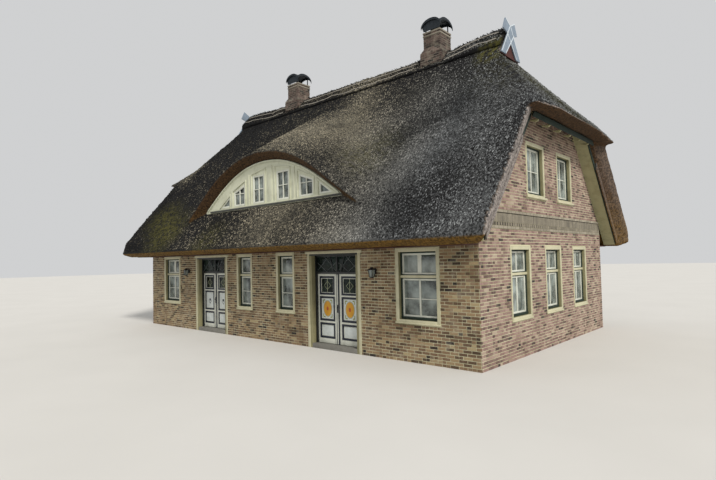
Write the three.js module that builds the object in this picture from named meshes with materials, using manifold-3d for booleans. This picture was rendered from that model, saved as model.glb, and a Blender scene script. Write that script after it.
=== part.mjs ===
// Thatched brick cottage with an eyebrow dormer, half-hipped gables and two double front doors.
// Millimetres, +Z up. The origin is on the ground in the middle of the plan.
// The front, with the doors, faces -Y. The long side runs along X.

import * as THREE from "three";
import * as BufferGeometryUtils from "three/addons/utils/BufferGeometryUtils.js";
import Module from "manifold-3d";

const wasm = await Module();
wasm.setup();

// Brick walls
const wallLength = 15200;
const wallDepth = 8500;
const wallThickness = 360;
const headHeight = 2750;
const sillHeight = 920;
const joint = 0.3;

// Floors
const groundFloorTop = 130;
const upperFloorBottom = 2960;
const upperFloorTop = 3160;

// Thatch of the two main slopes: the outer face falls from the ridge line to the eaves
const eavesY = 5275;
const eavesZ = 2890;
const ridgeZ = 9230;
const thatchRise = 560;
const eavesInnerY = 4930;
const vergeX = 8300;
const vergeInnerX = 8000;

// Half hips at both gables: the outer face falls from the ridge end over a slight bulge to its eaves
const hipTopX = 6480;
const hipTopZ = 8420;
const hipBulgeX = 7720;
const hipBulgeZ = 7000;
const hipEavesX = 8550;
const hipEavesZ = 5950;
const hipInnerX = 8120;
const hipInnerZ = 6000;

// The hip eaves stand out sideways at both corners and are bowed up between them
const hipCornerOut = 330;
const hipBowRise = 150;
const hipBowHalf = 1500;

// Towards the gables both slopes flare out between the hip and the eaves
const flareOut = 260;
const flareTopZ = 7100;
const flareLowZ = 3350;

// Ridge thatch, swept up a little at both ends
const capRise = 110;
const capCrown = 35;
const capHalf = 470;
const capSweep = 105;
const capSweepLength = 1900;

// Crossed boards at the ridge ends
const boardGap = 50;
const boardThickness = 40;
const owlHoleTop = 9120;

// Eyebrow dormer in the front slope: the brow's edge, and the boarded front under it
const browX = -90;
const browY = -4450;
const browZ = 3880;
const browHalf = 4550;
const browTopZ = 5985;
const browPitch = 0.6;
const browPinch = 0.045;
const panelY = -4120;
const panelHalf = 3600;
const panelTopZ = 5770;
const panelThickness = 60;
const lightsX = 220;
const lightsSill = 4420;

// Windows: the outer size of the cream surround, set nearly flush in the brick
const surroundFace = 95;
const windowReveal = 115;
const sashDepth = 60;
const windowProud = 8;
const wideWindow = 1280;
const narrowWindow = 870;
const gableWindow = 1180;
const wideWindowX = 5945;
const narrowWindowX = 1055;
const backWindowX = 2045;
const gableWindowY = 2140;
const upperWindowY = 1050;
const upperSill = 4010;
const upperHead = 5480;

// Double doors
const doorReveal = 200;
const doorX = 3100;
const doorHalf = 1040;
const lintelHalf = 1095;
const lintelHeight = 120;
const lintelProud = 20;
const jambFace = 180;
const doorFrame = 40;
const stopWidth = 16;
const transomBottom = 2120;
const transomHeight = 50;
const leafThickness = 50;
const leafClearance = 6;
const leafMeeting = 12;
const sillClearance = 10;
const postWidth = 100;
const postProud = 25;

// Chimneys on the ridge: a stack with a spread foot, which reaches down to the ground inside
const leftChimneyX = -2990;
const rightChimneyX = 4000;
const chimneyX = 630;
const chimneyY = 660;
const chimneyFoot = 90;
const chimneyFootZ = 9270;
const chimneyShaftZ = 9430;
const chimneyTop = 9985;

// Wall lanterns
const lanternX = 4640;
const lanternZ = 2170;

// Worked out from the sizes above
const halfLength = wallLength / 2;
const halfDepth = wallDepth / 2;
const innerX = halfLength - wallThickness;
const innerY = halfDepth - wallThickness;
const slope = (ridgeZ - eavesZ) / eavesY;
const hipSlope = (hipTopZ - hipEavesZ) / (hipEavesX - hipTopX);

// Far past the part or a piece on every side, for cutting solids
const farX = 9500;
const farY = 6500;
const farZ = 12000;
const past = 50;

const group = new THREE.Group();

const brick = { color: 0x8a6a58, roughness: 0.9, metalness: 0 };
const thatch = { color: 0x57524a, roughness: 1, metalness: 0 };
const reedCap = { color: 0x8a8272, roughness: 1, metalness: 0 };
const brownBoard = { color: 0x5a3020, roughness: 0.8, metalness: 0 };
const timberFloor = { color: 0x9c8058, roughness: 0.8, metalness: 0 };
const stoneFloor = { color: 0x8c8880, roughness: 0.9, metalness: 0 };
const creamPaint = { color: 0xd8cfa4, roughness: 0.6, metalness: 0 };
const whitePaint = { color: 0xe8e6dc, roughness: 0.5, metalness: 0 };
const darkPaint = { color: 0x18201e, roughness: 0.5, metalness: 0 };
const bluePaint = { color: 0x20304e, roughness: 0.5, metalness: 0 };
const palePaint = { color: 0xb9bfc2, roughness: 0.7, metalness: 0 };
const darkMetal = { color: 0x1c2024, roughness: 0.5, metalness: 0.8 };

// A solid ready to cut or join, from any closed geometry
function solidOf(geometry) {
  const bare = geometry.clone();
  bare.deleteAttribute("normal");
  bare.deleteAttribute("uv");
  const merged = BufferGeometryUtils.mergeVertices(bare, 1e-3);
  const mesh = new wasm.Mesh({
    numProp: 3,
    vertProperties: new Float32Array(merged.attributes.position.array),
    triVerts: new Uint32Array(merged.index.array),
  });
  return new wasm.Manifold(mesh);
}

// The geometry of a solid after its cuts
function geometryOf(solid) {
  const mesh = solid.getMesh();
  const geometry = new THREE.BufferGeometry();
  const positions = new Float32Array(mesh.vertProperties);
  geometry.setAttribute("position", new THREE.BufferAttribute(positions, 3));
  geometry.setIndex(new THREE.BufferAttribute(new Uint32Array(mesh.triVerts), 1));
  geometry.computeVertexNormals();
  return geometry;
}

function addNode(name, solid, material) {
  const mesh = new THREE.Mesh(geometryOf(solid), new THREE.MeshStandardMaterial(material));
  mesh.name = name;
  group.add(mesh);
}

// A piece at the +X end and its mirror image at the -X end
function addPair(name, solid, material) {
  addNode("right_" + name, solid, material);
  addNode("left_" + name, mirrored(solid, true), material);
}

// A shape carried through a row of sections; each section places a point of the shape in space
function loft(shape, sections, curveSegments = 12) {
  const steps = sections.length - 1;
  const options = { depth: steps, steps, bevelEnabled: false, curveSegments };
  const geometry = new THREE.ExtrudeGeometry(shape, options);
  const position = geometry.attributes.position;
  for (let i = 0; i < position.count; i += 1) {
    const section = sections[Math.round(position.getZ(i))];
    const point = section(position.getX(i), position.getY(i));
    position.setXYZ(i, point[0], point[1], point[2]);
  }
  return solidOf(geometry);
}

function outline(points) {
  return new THREE.Shape(points.map((point) => new THREE.Vector2(point[0], point[1])));
}

// A prism of points (y, z) from x0 to x1
function prismX(points, x0, x1) {
  return loft(outline(points), [(y, z) => [x0, y, z], (y, z) => [x1, y, z]]);
}

// A prism of points (x, z) from y0 to y1
function prismY(points, y0, y1) {
  return loft(outline(points), [(x, z) => [x, y1, z], (x, z) => [x, y0, z]]);
}

function block(x0, x1, y0, y1, z0, z1) {
  const geometry = new THREE.BoxGeometry(x1 - x0, y1 - y0, z1 - z0);
  geometry.translate((x0 + x1) / 2, (y0 + y1) / 2, (z0 + z1) / 2);
  return solidOf(geometry);
}

function joined(solids) {
  return solids.reduce((whole, solid) => whole.add(solid));
}

function cutBy(solid, cutters) {
  return cutters.reduce((rest, cutter) => rest.subtract(cutter), solid);
}

// The same solid seen in the plane X = 0 or Y = 0
function mirrored(solid, alongX) {
  const geometry = geometryOf(solid);
  geometry.scale(alongX ? -1 : 1, alongX ? 1 : -1, 1);
  const index = geometry.index;
  for (let i = 0; i < index.count; i += 3) {
    const first = index.getX(i);
    index.setX(i, index.getX(i + 1));
    index.setX(i + 1, first);
  }
  return solidOf(geometry);
}

// Height and distance of a plane at some depth under the outer face of the main slopes
function mainZ(y, depth) {
  return ridgeZ - slope * Math.abs(y) - depth;
}

function mainY(z, depth) {
  return (ridgeZ - depth - z) / slope;
}

// Height of the underside of the hip thatch at the +X end
function hipUnderZ(x) {
  return hipInnerZ + (hipInnerX - x) * hipSlope;
}

// Everything below a plane that lies some depth under the outer face of both main slopes
function underMain(depth, reachX) {
  const low = -1000;
  const halfY = mainY(low, depth);
  return prismX([[-halfY, low], [halfY, low], [0, mainZ(0, depth)]], -reachX, reachX);
}

// Everything over the underside of the hip thatch at the +X end, with all beyond the ridge end
function beyondHip() {
  const x0 = hipTopX - joint;
  const points = [
    [x0, farZ],
    [x0, hipUnderZ(x0) - joint],
    [hipInnerX, hipInnerZ - joint],
    [hipEavesX, hipEavesZ - joint],
    [farX, hipEavesZ - joint],
    [farX, farZ],
  ];
  return prismY(points, -farY, farY);
}

function trimmedByHips(solid) {
  const cutter = beyondHip();
  return cutBy(solid, [cutter, mirrored(cutter, true)]);
}

// Room for the chimney stacks, whose wide foot goes through the roof and the floors
function chimneyHoles(solid) {
  const halfX = chimneyX / 2 + chimneyFoot + joint;
  const halfY = chimneyY / 2 + chimneyFoot + joint;
  const holes = [leftChimneyX, rightChimneyX].map((x) =>
    block(x - halfX, x + halfX, -halfY, halfY, -past, farZ));
  return cutBy(solid, holes);
}

// Roof

// How much of the flare a place along the roof has: none at the ridge end, all at the hip eaves
function flareShare(x) {
  return Math.max(0, (Math.abs(x) - hipTopX) / (hipEavesX - hipTopX));
}

// One main slope on the front side, with its slanted cut at the eaves and at both verges
function mainSlope() {
  const onFace = (z) => [-mainY(z, 0), z];
  const profile = outline([
    [-eavesY, eavesZ],
    [-eavesInnerY, mainZ(eavesInnerY, thatchRise)],
    [-joint / 2, mainZ(0, thatchRise)],
    [-joint / 2, mainZ(0, 0)],
    onFace(flareTopZ),
    onFace(hipEavesZ),
    onFace(flareLowZ),
  ]);
  const section = (x, innerX) => (y, z) => {
    const flared = z > flareLowZ - 1 && z < hipEavesZ + 1;
    const out = flared ? flareOut * flareShare(x) : 0;
    return [z < mainZ(y, 1) ? innerX : x, y - out, z];
  };
  return loft(profile, [
    section(-vergeX, -vergeInnerX),
    section(-hipTopX, -hipTopX),
    section(hipTopX, hipTopX),
    section(vergeX, vergeInnerX),
  ]);
}

// Outline of the brow, 1 wide each way and 1 high, flaring out at the foot
function browShape() {
  const shape = new THREE.Shape();
  shape.moveTo(-1, 0);
  shape.lineTo(1, 0);
  shape.bezierCurveTo(0.755, 0.36, 0.47, 1, 0, 1);
  shape.bezierCurveTo(-0.47, 1, -0.755, 0.36, -1, 0);
  return shape;
}

// A section of the brow at y, with its foot at z and its arch lifted by the pitch behind the start.
// A pinch draws the shoulder on the right side in.
function browSection(y, half, z, top, lift, pinch) {
  const narrowed = (u, v) => (u > 0 ? u * (1 - pinch * 4 * v * (1 - v)) : u);
  return (u, v) => [browX + narrowed(u, v) * half, y, z + v * (top - z) + (v > 0 ? lift : 0)];
}

// The room behind the dormer's front; before the front it widens to the brow's edge
function dormerHollow() {
  const backY = -500;
  const frontY = browY - 1;
  const share = (frontY - panelY) / (browY - panelY);
  const blend = (from, to) => from + (to - from) * share;
  const footZ = mainZ(panelY, 2);
  return loft(browShape(), [
    browSection(backY, panelHalf, footZ, panelTopZ, browPitch * (backY - panelY), 0),
    browSection(panelY, panelHalf, footZ, panelTopZ, 0, 0),
    browSection(frontY, blend(panelHalf, browHalf), mainZ(frontY, 2), blend(panelTopZ, browTopZ), 0, browPinch),
  ]);
}

function browHood() {
  const backY = -600;
  const hood = loft(browShape(), [
    browSection(backY, browHalf, browZ, browTopZ, browPitch * (backY - browY), browPinch),
    browSection(browY, browHalf, browZ, browTopZ, 0, browPinch),
  ]);
  const frontHalf = block(-farX, farX, -farY, -joint / 2, 0, ridgeZ);
  return hood.subtract(underMain(thatchRise, farX)).intersect(frontHalf);
}

function thatchNodes() {
  const back = mirrored(mainSlope(), false);
  const front = mainSlope().add(browHood()).subtract(dormerHollow());
  addNode("thatch_front", trimmedByHips(chimneyHoles(front)), thatch);
  addNode("thatch_back", trimmedByHips(chimneyHoles(back)), thatch);
}

// The hip thatch at the +X end, with its eaves bowed up between flared corners
function hipThatch() {
  const profile = [
    [hipEavesX, hipEavesZ],
    [hipBulgeX, hipBulgeZ],
    [hipTopX, hipTopZ],
    [hipTopX, hipUnderZ(hipTopX)],
    [hipInnerX, hipInnerZ],
  ];
  const cornerY = mainY(hipEavesZ, 0) + hipCornerOut;
  const cornerDepth = 30;
  const bowed = (y, rise) => (x, z) => [x, y, x > hipInnerX + 1 ? z + rise : z];
  const slab = loft(outline(profile), [
    bowed(cornerY, 0),
    bowed(hipBowHalf, hipBowRise),
    bowed(-hipBowHalf, hipBowRise),
    bowed(-cornerY, 0),
  ]);
  const nearHalf = [
    [-mainY(flareTopZ, 0), flareTopZ],
    [-cornerY, hipEavesZ],
    [-cornerY, hipEavesZ - cornerDepth],
  ];
  const farHalf = nearHalf.toReversed().map((point) => [-point[0], point[1]]);
  const front = [[0, ridgeZ], ...nearHalf, ...farHalf];
  const section = (x) => (y, z) => {
    const faceY = mainY(z, 0);
    const out = Math.max(0, Math.abs(y) - faceY) * flareShare(x);
    return [x, Math.sign(y) * (Math.min(Math.abs(y), faceY) + out), z];
  };
  const between = loft(outline(front), [section(hipTopX - past), section(hipEavesX + past)]);
  return slab.intersect(between);
}

// The ridge thatch rides on both slopes and is notched round the chimneys
function ridgeCap() {
  const seat = 0.5;
  const shoulder = 140;
  const edge = capHalf + 40;
  const half = [
    [shoulder, mainZ(shoulder, -capRise)],
    [edge, mainZ(edge, -capRise)],
    [capHalf, mainZ(capHalf, -seat)],
  ];
  const points = [
    [0, ridgeZ + capCrown],
    ...half,
    [0, ridgeZ + seat],
    ...half.toReversed().map((point) => [-point[0], point[1]]),
  ];
  const station = (x, lift) => (y, z) => [x, y, z > mainZ(y, -1) ? z + lift : z];
  const sweepMiddle = hipTopX - capSweepLength / 2;
  const sweepStart = hipTopX - capSweepLength;
  const middleLift = capSweep * 0.8;
  return chimneyHoles(loft(outline(points), [
    station(-hipTopX, capSweep),
    station(-sweepMiddle, middleLift),
    station(-sweepStart, 0),
    station(sweepStart, 0),
    station(sweepMiddle, middleLift),
    station(hipTopX, capSweep),
  ]));
}

// One of two crossed boards on the ridge end, with a plain animal head as its tip.
// Its foot stands on the side's slope; the points are (y, z).
function gableBoard(side) {
  const foot = [[330, 8440], [630, 8440]];
  const brow = [[20, 9370], [-300, 9550]];
  const jaw = [[-460, 9200], [-210, 9130]];
  const points = [...foot, ...brow, ...jaw].map((point) => [side * point[0], point[1]]);
  const x0 = hipTopX + boardGap;
  return prismX(points, x0, x0 + boardThickness);
}

// The board behind the owl hole, in the triangle over the hip
function owlHolePanel() {
  const foot = hipTopZ + 1;
  const half = (owlHoleTop - foot) / slope;
  const x0 = hipTopX + joint;
  return prismX([[-half, foot], [half, foot], [0, owlHoleTop]], x0, hipTopX + boardGap - joint);
}

// Soffits

// Boarded soffit under the verges and the hip eaves of one gable, with its edge boards
function gableSoffit() {
  const x0 = halfLength + joint;
  const thickness = 25;
  const seat = 1;
  const vergeEdge = vergeInnerX - 10;
  const vergeDrop = 700;
  const vergeLip = 20;
  const hipEdge = hipInnerX - 10;
  const hipDrop = 100;
  const hipLip = 30;
  const low = mainZ(eavesInnerY, thatchRise) - 60;
  const reachY = eavesInnerY + past;
  const underVerge = (x1, x2, upper, lower) =>
    underMain(upper, farX)
      .subtract(underMain(lower, farX + past))
      .intersect(block(x1, x2, -reachY, reachY, low, ridgeZ));
  const underHip = (x1, x2, upper, lower) => {
    const points = [
      [x1, hipUnderZ(x1) - upper],
      [x1, hipUnderZ(x1) - lower],
      [x2, hipUnderZ(x2) - lower],
      [x2, hipUnderZ(x2) - upper],
    ];
    return prismY(points, -farY, farY);
  };
  const verge = joined([
    underVerge(x0, vergeEdge, vergeDrop, vergeDrop + thickness),
    underVerge(vergeEdge - thickness, vergeEdge, thatchRise + seat, vergeDrop + thickness + vergeLip),
  ]).intersect(underHip(innerX, farX, hipDrop + thickness / 2, farZ));
  const hip = joined([
    underHip(x0, hipEdge, hipDrop, hipDrop + thickness),
    underHip(hipEdge - thickness, hipEdge, seat, hipDrop + thickness + hipLip),
  ]).intersect(underMain(thatchRise + seat, farX));
  return verge.add(hip);
}

// Level boards that close the underside of the front eaves
function eavesSoffit() {
  const bottom = headHeight + 12;
  const top = bottom + 22;
  const gap = 3;
  const points = [
    [-halfDepth - joint, bottom],
    [-mainY(bottom, thatchRise) + gap, bottom],
    [-mainY(top, thatchRise) + gap, top],
    [-halfDepth - joint, top],
  ];
  return prismX(points, -halfLength, halfLength);
}

// Walls

// Room for a window in a long wall, whose head reaches up to the wall head over it
function longWallHole(window, side) {
  const half = window.width / 2 + joint;
  const y0 = Math.min(side * halfDepth, side * innerY) - past;
  const y1 = Math.max(side * halfDepth, side * innerY) + past;
  return block(window.x - half, window.x + half, y0, y1, sillHeight - joint, headHeight + past);
}

function gableHole(y, z0, z1) {
  const half = gableWindow / 2 + joint;
  return block(innerX - past, halfLength + past, y - half, y + half, z0 - joint, z1 + joint);
}

function gableWall() {
  const gap = 1;
  const top = hipUnderZ(halfLength) - 10;
  const shoulder = mainY(top, thatchRise + gap);
  const cornerZ = mainZ(halfDepth, thatchRise + gap);
  const points = [
    [-halfDepth, 0],
    [halfDepth, 0],
    [halfDepth, cornerZ],
    [shoulder, top],
    [-shoulder, top],
    [-halfDepth, cornerZ],
  ];
  const lower = [-gableWindowY, 0, gableWindowY].map((y) => gableHole(y, sillHeight, headHeight));
  const upper = [-upperWindowY, upperWindowY].map((y) => gableHole(y, upperSill, upperHead));
  return cutBy(prismX(points, innerX, halfLength), [...lower, ...upper]);
}

// The long wall over the heads of the windows and doors, up to the thatch
function wallHead(side) {
  const z0 = headHeight + joint;
  const points = [
    [side * halfDepth, z0],
    [side * innerY, z0],
    [side * innerY, mainZ(innerY, thatchRise + 1)],
    [side * halfDepth, mainZ(halfDepth, thatchRise + 1)],
  ];
  const reach = innerX - joint;
  return prismX(points, -reach, reach);
}

function frontWallPiece(x0, x1, windows) {
  const wall = block(x0, x1, -halfDepth, -innerY, 0, headHeight);
  const lintelZ = headHeight - lintelHeight - joint;
  const half = lintelHalf + joint;
  const lintels = [-doorX, doorX].map((x) =>
    block(x - half, x + half, -halfDepth - past, -innerY + past, lintelZ, headHeight + past));
  const holes = windows.map((window) => longWallHole(window, -1));
  return cutBy(wall, [...lintels, ...holes]);
}

function backWindows() {
  const spread = [-wideWindowX, -backWindowX, backWindowX, wideWindowX];
  return spread.map((x) => ({ x, width: wideWindow }));
}

function wallNodes() {
  const edge = doorHalf + joint;
  const reach = innerX - joint;
  const farLeft = [{ x: -wideWindowX, width: wideWindow }];
  const farRight = [{ x: wideWindowX, width: wideWindow }];
  const middle = [-narrowWindowX, narrowWindowX].map((x) => ({ x, width: narrowWindow }));
  addNode("front_wall_left", frontWallPiece(-reach, -doorX - edge, farLeft), brick);
  addNode("front_wall_middle", frontWallPiece(-doorX + edge, doorX - edge, middle), brick);
  addNode("front_wall_right", frontWallPiece(doorX + edge, reach, farRight), brick);
  addNode("front_wall_head", wallHead(-1), brick);
  const back = block(-reach, reach, innerY, halfDepth, 0, headHeight);
  addNode("back_wall", cutBy(back, backWindows().map((window) => longWallHole(window, 1))), brick);
  addNode("back_wall_head", wallHead(1), brick);
  addPair("gable_wall", gableWall(), brick);
}

function floorNodes() {
  const x = innerX - joint;
  const y = innerY - joint;
  const floor = (z0, z1) => chimneyHoles(block(-x, x, -y, y, z0, z1));
  addNode("ground_floor", floor(0, groundFloorTop), stoneFloor);
  addNode("upper_floor", floor(upperFloorBottom, upperFloorTop), timberFloor);
}

// Windows, built in their own frame: x across, y from the wall face inwards, z up from the sill

// Surround, sash, pane and bars in one; columns are panes across, bars are heights of cross bars
function windowUnit(width, height, columns, bars) {
  const sashFace = 60;
  const lap = 1;
  const barHalf = 25;
  const barInset = 5;
  const paneY = windowReveal + 25;
  const paneThickness = 8;
  const half = width / 2;
  const inner = half - surroundFace;
  const depth = windowReveal + sashDepth;
  const low = surroundFace;
  const high = height - surroundFace;
  const bar = (x0, x1, z0, z1) => block(x0, x1, windowReveal + barInset, depth - barInset, z0, z1);
  const frame = block(-half, half, -windowProud, depth, 0, height)
    .subtract(block(-inner, inner, -past, depth + past, low, high));
  const sash = block(-inner - lap, inner + lap, windowReveal, depth, low - lap, high + lap)
    .subtract(block(-inner + sashFace, inner - sashFace, 0, depth + past, low + sashFace, high - sashFace));
  const pane = block(-inner, inner, paneY, paneY + paneThickness, low, high);
  const uprights = [];
  for (let i = 1; i < columns; i += 1) {
    const x = -inner + (2 * inner * i) / columns;
    uprights.push(bar(x - barHalf, x + barHalf, low, high));
  }
  const crossBars = bars.map((z) => bar(-inner, inner, z - barHalf, z + barHalf));
  return joined([frame, sash, pane, ...uprights, ...crossBars]);
}

// A sill that stands out under an upper window
function withSill(unit) {
  const half = gableWindow / 2 + 45;
  return unit.add(block(-half, half, -60, -joint, -10, 45));
}

// The unit turned to a wall: the front (-Y), the back (+Y) or a gable (+X or -X)
function placed(unit, turn, x, y, z) {
  const geometry = geometryOf(unit);
  geometry.rotateZ(turn);
  geometry.translate(x, y, z);
  return solidOf(geometry);
}

function windowNodes() {
  const height = headHeight - sillHeight;
  const upperHeight = upperHead - upperSill;
  const transom = height * 0.66;
  const lowerBar = height * 0.36;
  const wide = windowUnit(wideWindow, height, 2, [transom, lowerBar]);
  const narrow = windowUnit(narrowWindow, height, 1, [transom]);
  const gable = windowUnit(gableWindow, height, 2, [transom]);
  const upper = withSill(windowUnit(gableWindow, upperHeight, 2, [upperHeight / 2]));
  const front = (name, unit, x) =>
    addNode("front_window_" + name, placed(unit, 0, x, -halfDepth, sillHeight), whitePaint);
  front("far_left", wide, -wideWindowX);
  front("left", narrow, -narrowWindowX);
  front("right", narrow, narrowWindowX);
  front("far_right", wide, wideWindowX);
  backWindows().forEach((window, i) => {
    addNode("back_window_" + (i + 1), placed(wide, Math.PI, window.x, halfDepth, sillHeight), whitePaint);
  });
  [-gableWindowY, 0, gableWindowY].forEach((y, i) => {
    addPair("gable_window_" + (i + 1), placed(gable, Math.PI / 2, halfLength, y, sillHeight), whitePaint);
  });
  [-upperWindowY, upperWindowY].forEach((y, i) => {
    addPair("upper_window_" + (i + 1), placed(upper, Math.PI / 2, halfLength, y, upperSill), whitePaint);
  });
}

// The holes of the three lights on one side of the dormer's front: tall, sloped and three-cornered.
// The points are (x from the middle of the lights, z).
function dormerLights(side) {
  const tall = [[320, lightsSill], [920, lightsSill], [920, 5330], [320, 5330]];
  const sloped = [[1390, lightsSill], [2010, lightsSill], [2010, 4900], [1390, 5110]];
  const cornered = [[2280, lightsSill], [2800, lightsSill], [2280, 4780]];
  return [tall, sloped, cornered].map((points) =>
    prismY(points.map((point) => [lightsX + side * point[0], point[1]]), panelY - past, -innerY));
}

function dormerFront() {
  const gap = 4;
  const foot = mainZ(panelY, 2) + joint;
  const section = (y) => browSection(y, panelHalf - gap, foot, panelTopZ - gap, 0, 0);
  const board = loft(browShape(), [section(panelY + panelThickness), section(panelY)]);
  return cutBy(board, [...dormerLights(-1), ...dormerLights(1)]);
}

// One sheet of glass behind all the lights
function dormerGlazing() {
  const y0 = panelY + panelThickness + joint;
  const thickness = 10;
  const lap = 20;
  const half = [[2920, lightsSill - lap], [2200, 4950], [1400, 5170], [960, 5360]];
  const points = [...half, ...half.toReversed().map((point) => [-point[0], point[1]])];
  return prismY(points.map((point) => [lightsX + point[0], point[1]]), y0, y0 + thickness);
}

// Doors

// Cream surround with a wider lintel, standing through the whole wall
function doorSurround(x) {
  const y0 = -halfDepth - windowProud;
  const lintelZ = headHeight - lintelHeight;
  const inner = doorHalf - jambFace;
  const jambs = block(x - doorHalf, x + doorHalf, y0, -innerY, 0, lintelZ + 1);
  const lintelY = -halfDepth - lintelProud;
  const lintel = block(x - lintelHalf, x + lintelHalf, lintelY, -innerY, lintelZ, headHeight);
  const way = block(x - inner, x + inner, y0 - past, -innerY + past, groundFloorTop, lintelZ);
  return jambs.add(lintel).subtract(way);
}

// Dark frame with stops for the leaves, and the fixed light over them
function doorFrameUnit(x) {
  const frameBefore = 60;
  const paneThickness = 8;
  const lap = 10;
  const postHalf = 30;
  const outer = doorHalf - jambFace - joint;
  const leafY = -halfDepth + doorReveal;
  const y0 = leafY - frameBefore;
  const y1 = leafY + leafThickness;
  const z0 = groundFloorTop + joint;
  const z1 = headHeight - lintelHeight - joint;
  const transomTop = transomBottom + transomHeight;
  const across = (half, ya, yb, za, zb) => block(x - half, x + half, ya, yb, za, zb);
  const way = outer - doorFrame;
  const whole = across(outer, y0, y1, z0, z1);
  const leafWay = across(way, leafY - leafClearance, y1 + past, z0 - past, transomBottom);
  const stopWay = across(way - stopWidth, y0 - past, y1, z0 - past, transomBottom - stopWidth);
  const light = across(way, y0 - past, y1 + past, transomTop, z1 - doorFrame);
  const pane = across(outer - lap, leafY - paneThickness, leafY, transomTop - lap, z1 - lap);
  const post = across(postHalf, leafY - 40, y1 - lap, transomTop - lap, z1 - lap);
  return joined([cutBy(whole, [leafWay, stopWay, light]), pane, post]);
}

// A leaf with a sunk light over two sunk panels; the right leaf carries the meeting post
function doorLeaf(x, side) {
  const stile = 100;
  const bottomRail = 160;
  const lockRail = [690, 790];
  const lightRail = [1440, 1530];
  const sunkDepth = 15;
  const jamb = doorHalf - jambFace - joint - doorFrame - leafClearance;
  const meeting = -postWidth / 2 + (side * leafMeeting) / 2;
  const x0 = side < 0 ? x - jamb : x + meeting;
  const x1 = side < 0 ? x + meeting : x + jamb;
  const y0 = -halfDepth + doorReveal;
  const y1 = y0 + leafThickness;
  const z0 = groundFloorTop + sillClearance;
  const z1 = transomBottom - leafClearance;
  const panelX0 = x0 + (side < 0 ? stile : stile + postWidth);
  const panelX1 = x1 - stile;
  const spans = [[z0 + bottomRail, lockRail[0]], [lockRail[1], lightRail[0]], [lightRail[1], z1 - stile]];
  const sunk = spans.flatMap((span) => [
    block(panelX0, panelX1, y0 - past, y0 + sunkDepth, span[0], span[1]),
    block(panelX0, panelX1, y1 - sunkDepth, y1 + past, span[0], span[1]),
  ]);
  const leaf = cutBy(block(x0, x1, y0, y1, z0, z1), sunk);
  const hung = joined([leaf, ...hingeKnuckles(side < 0 ? x0 : x1, y1)]);
  const post = block(x0, x0 + postWidth, y0 - postProud, y0 + 5, z0, z1 - stopWidth);
  return side < 0 ? hung : hung.add(post);
}

// Round knuckles on the pivot line of a leaf, which nearly touch the frame beside it
function hingeKnuckles(x, y) {
  const radius = leafClearance - joint;
  const length = 110;
  return [450, 1100, 1750].map((z) => {
    const knuckle = new THREE.CylinderGeometry(radius, radius, length, 16);
    knuckle.rotateX(Math.PI / 2);
    knuckle.translate(x, y, z);
    return solidOf(knuckle);
  });
}

function doorNodes() {
  [["left", -doorX], ["right", doorX]].forEach((door) => {
    const name = door[0];
    const x = door[1];
    addNode(name + "_door_surround", doorSurround(x), creamPaint);
    addNode(name + "_door_frame", doorFrameUnit(x), darkPaint);
    addNode(name + "_door_leaf_left", doorLeaf(x, -1), bluePaint);
    addNode(name + "_door_leaf_right", doorLeaf(x, 1), bluePaint);
  });
}

// Chimneys

// A brick stack on a spread foot, with two thin bands under its top
function chimneyStack(x) {
  const corbel = 20;
  const halfX = chimneyX / 2;
  const halfY = chimneyY / 2;
  const level = (z0, z1, out) => block(x - halfX - out, x + halfX + out, -halfY - out, halfY + out, z0, z1);
  const square = outline([[-1, -1], [1, -1], [1, 1], [-1, 1]]);
  const section = (z, out) => (u, v) => [x + u * (halfX + out), v * (halfY + out), z];
  const spread = loft(square, [section(chimneyFootZ, chimneyFoot), section(chimneyShaftZ, 0)]);
  return joined([
    level(0, chimneyFootZ, chimneyFoot),
    spread,
    level(chimneyShaftZ, chimneyTop, 0),
    level(9835, 9875, corbel),
    level(chimneyTop - 50, chimneyTop, corbel),
  ]);
}

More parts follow.
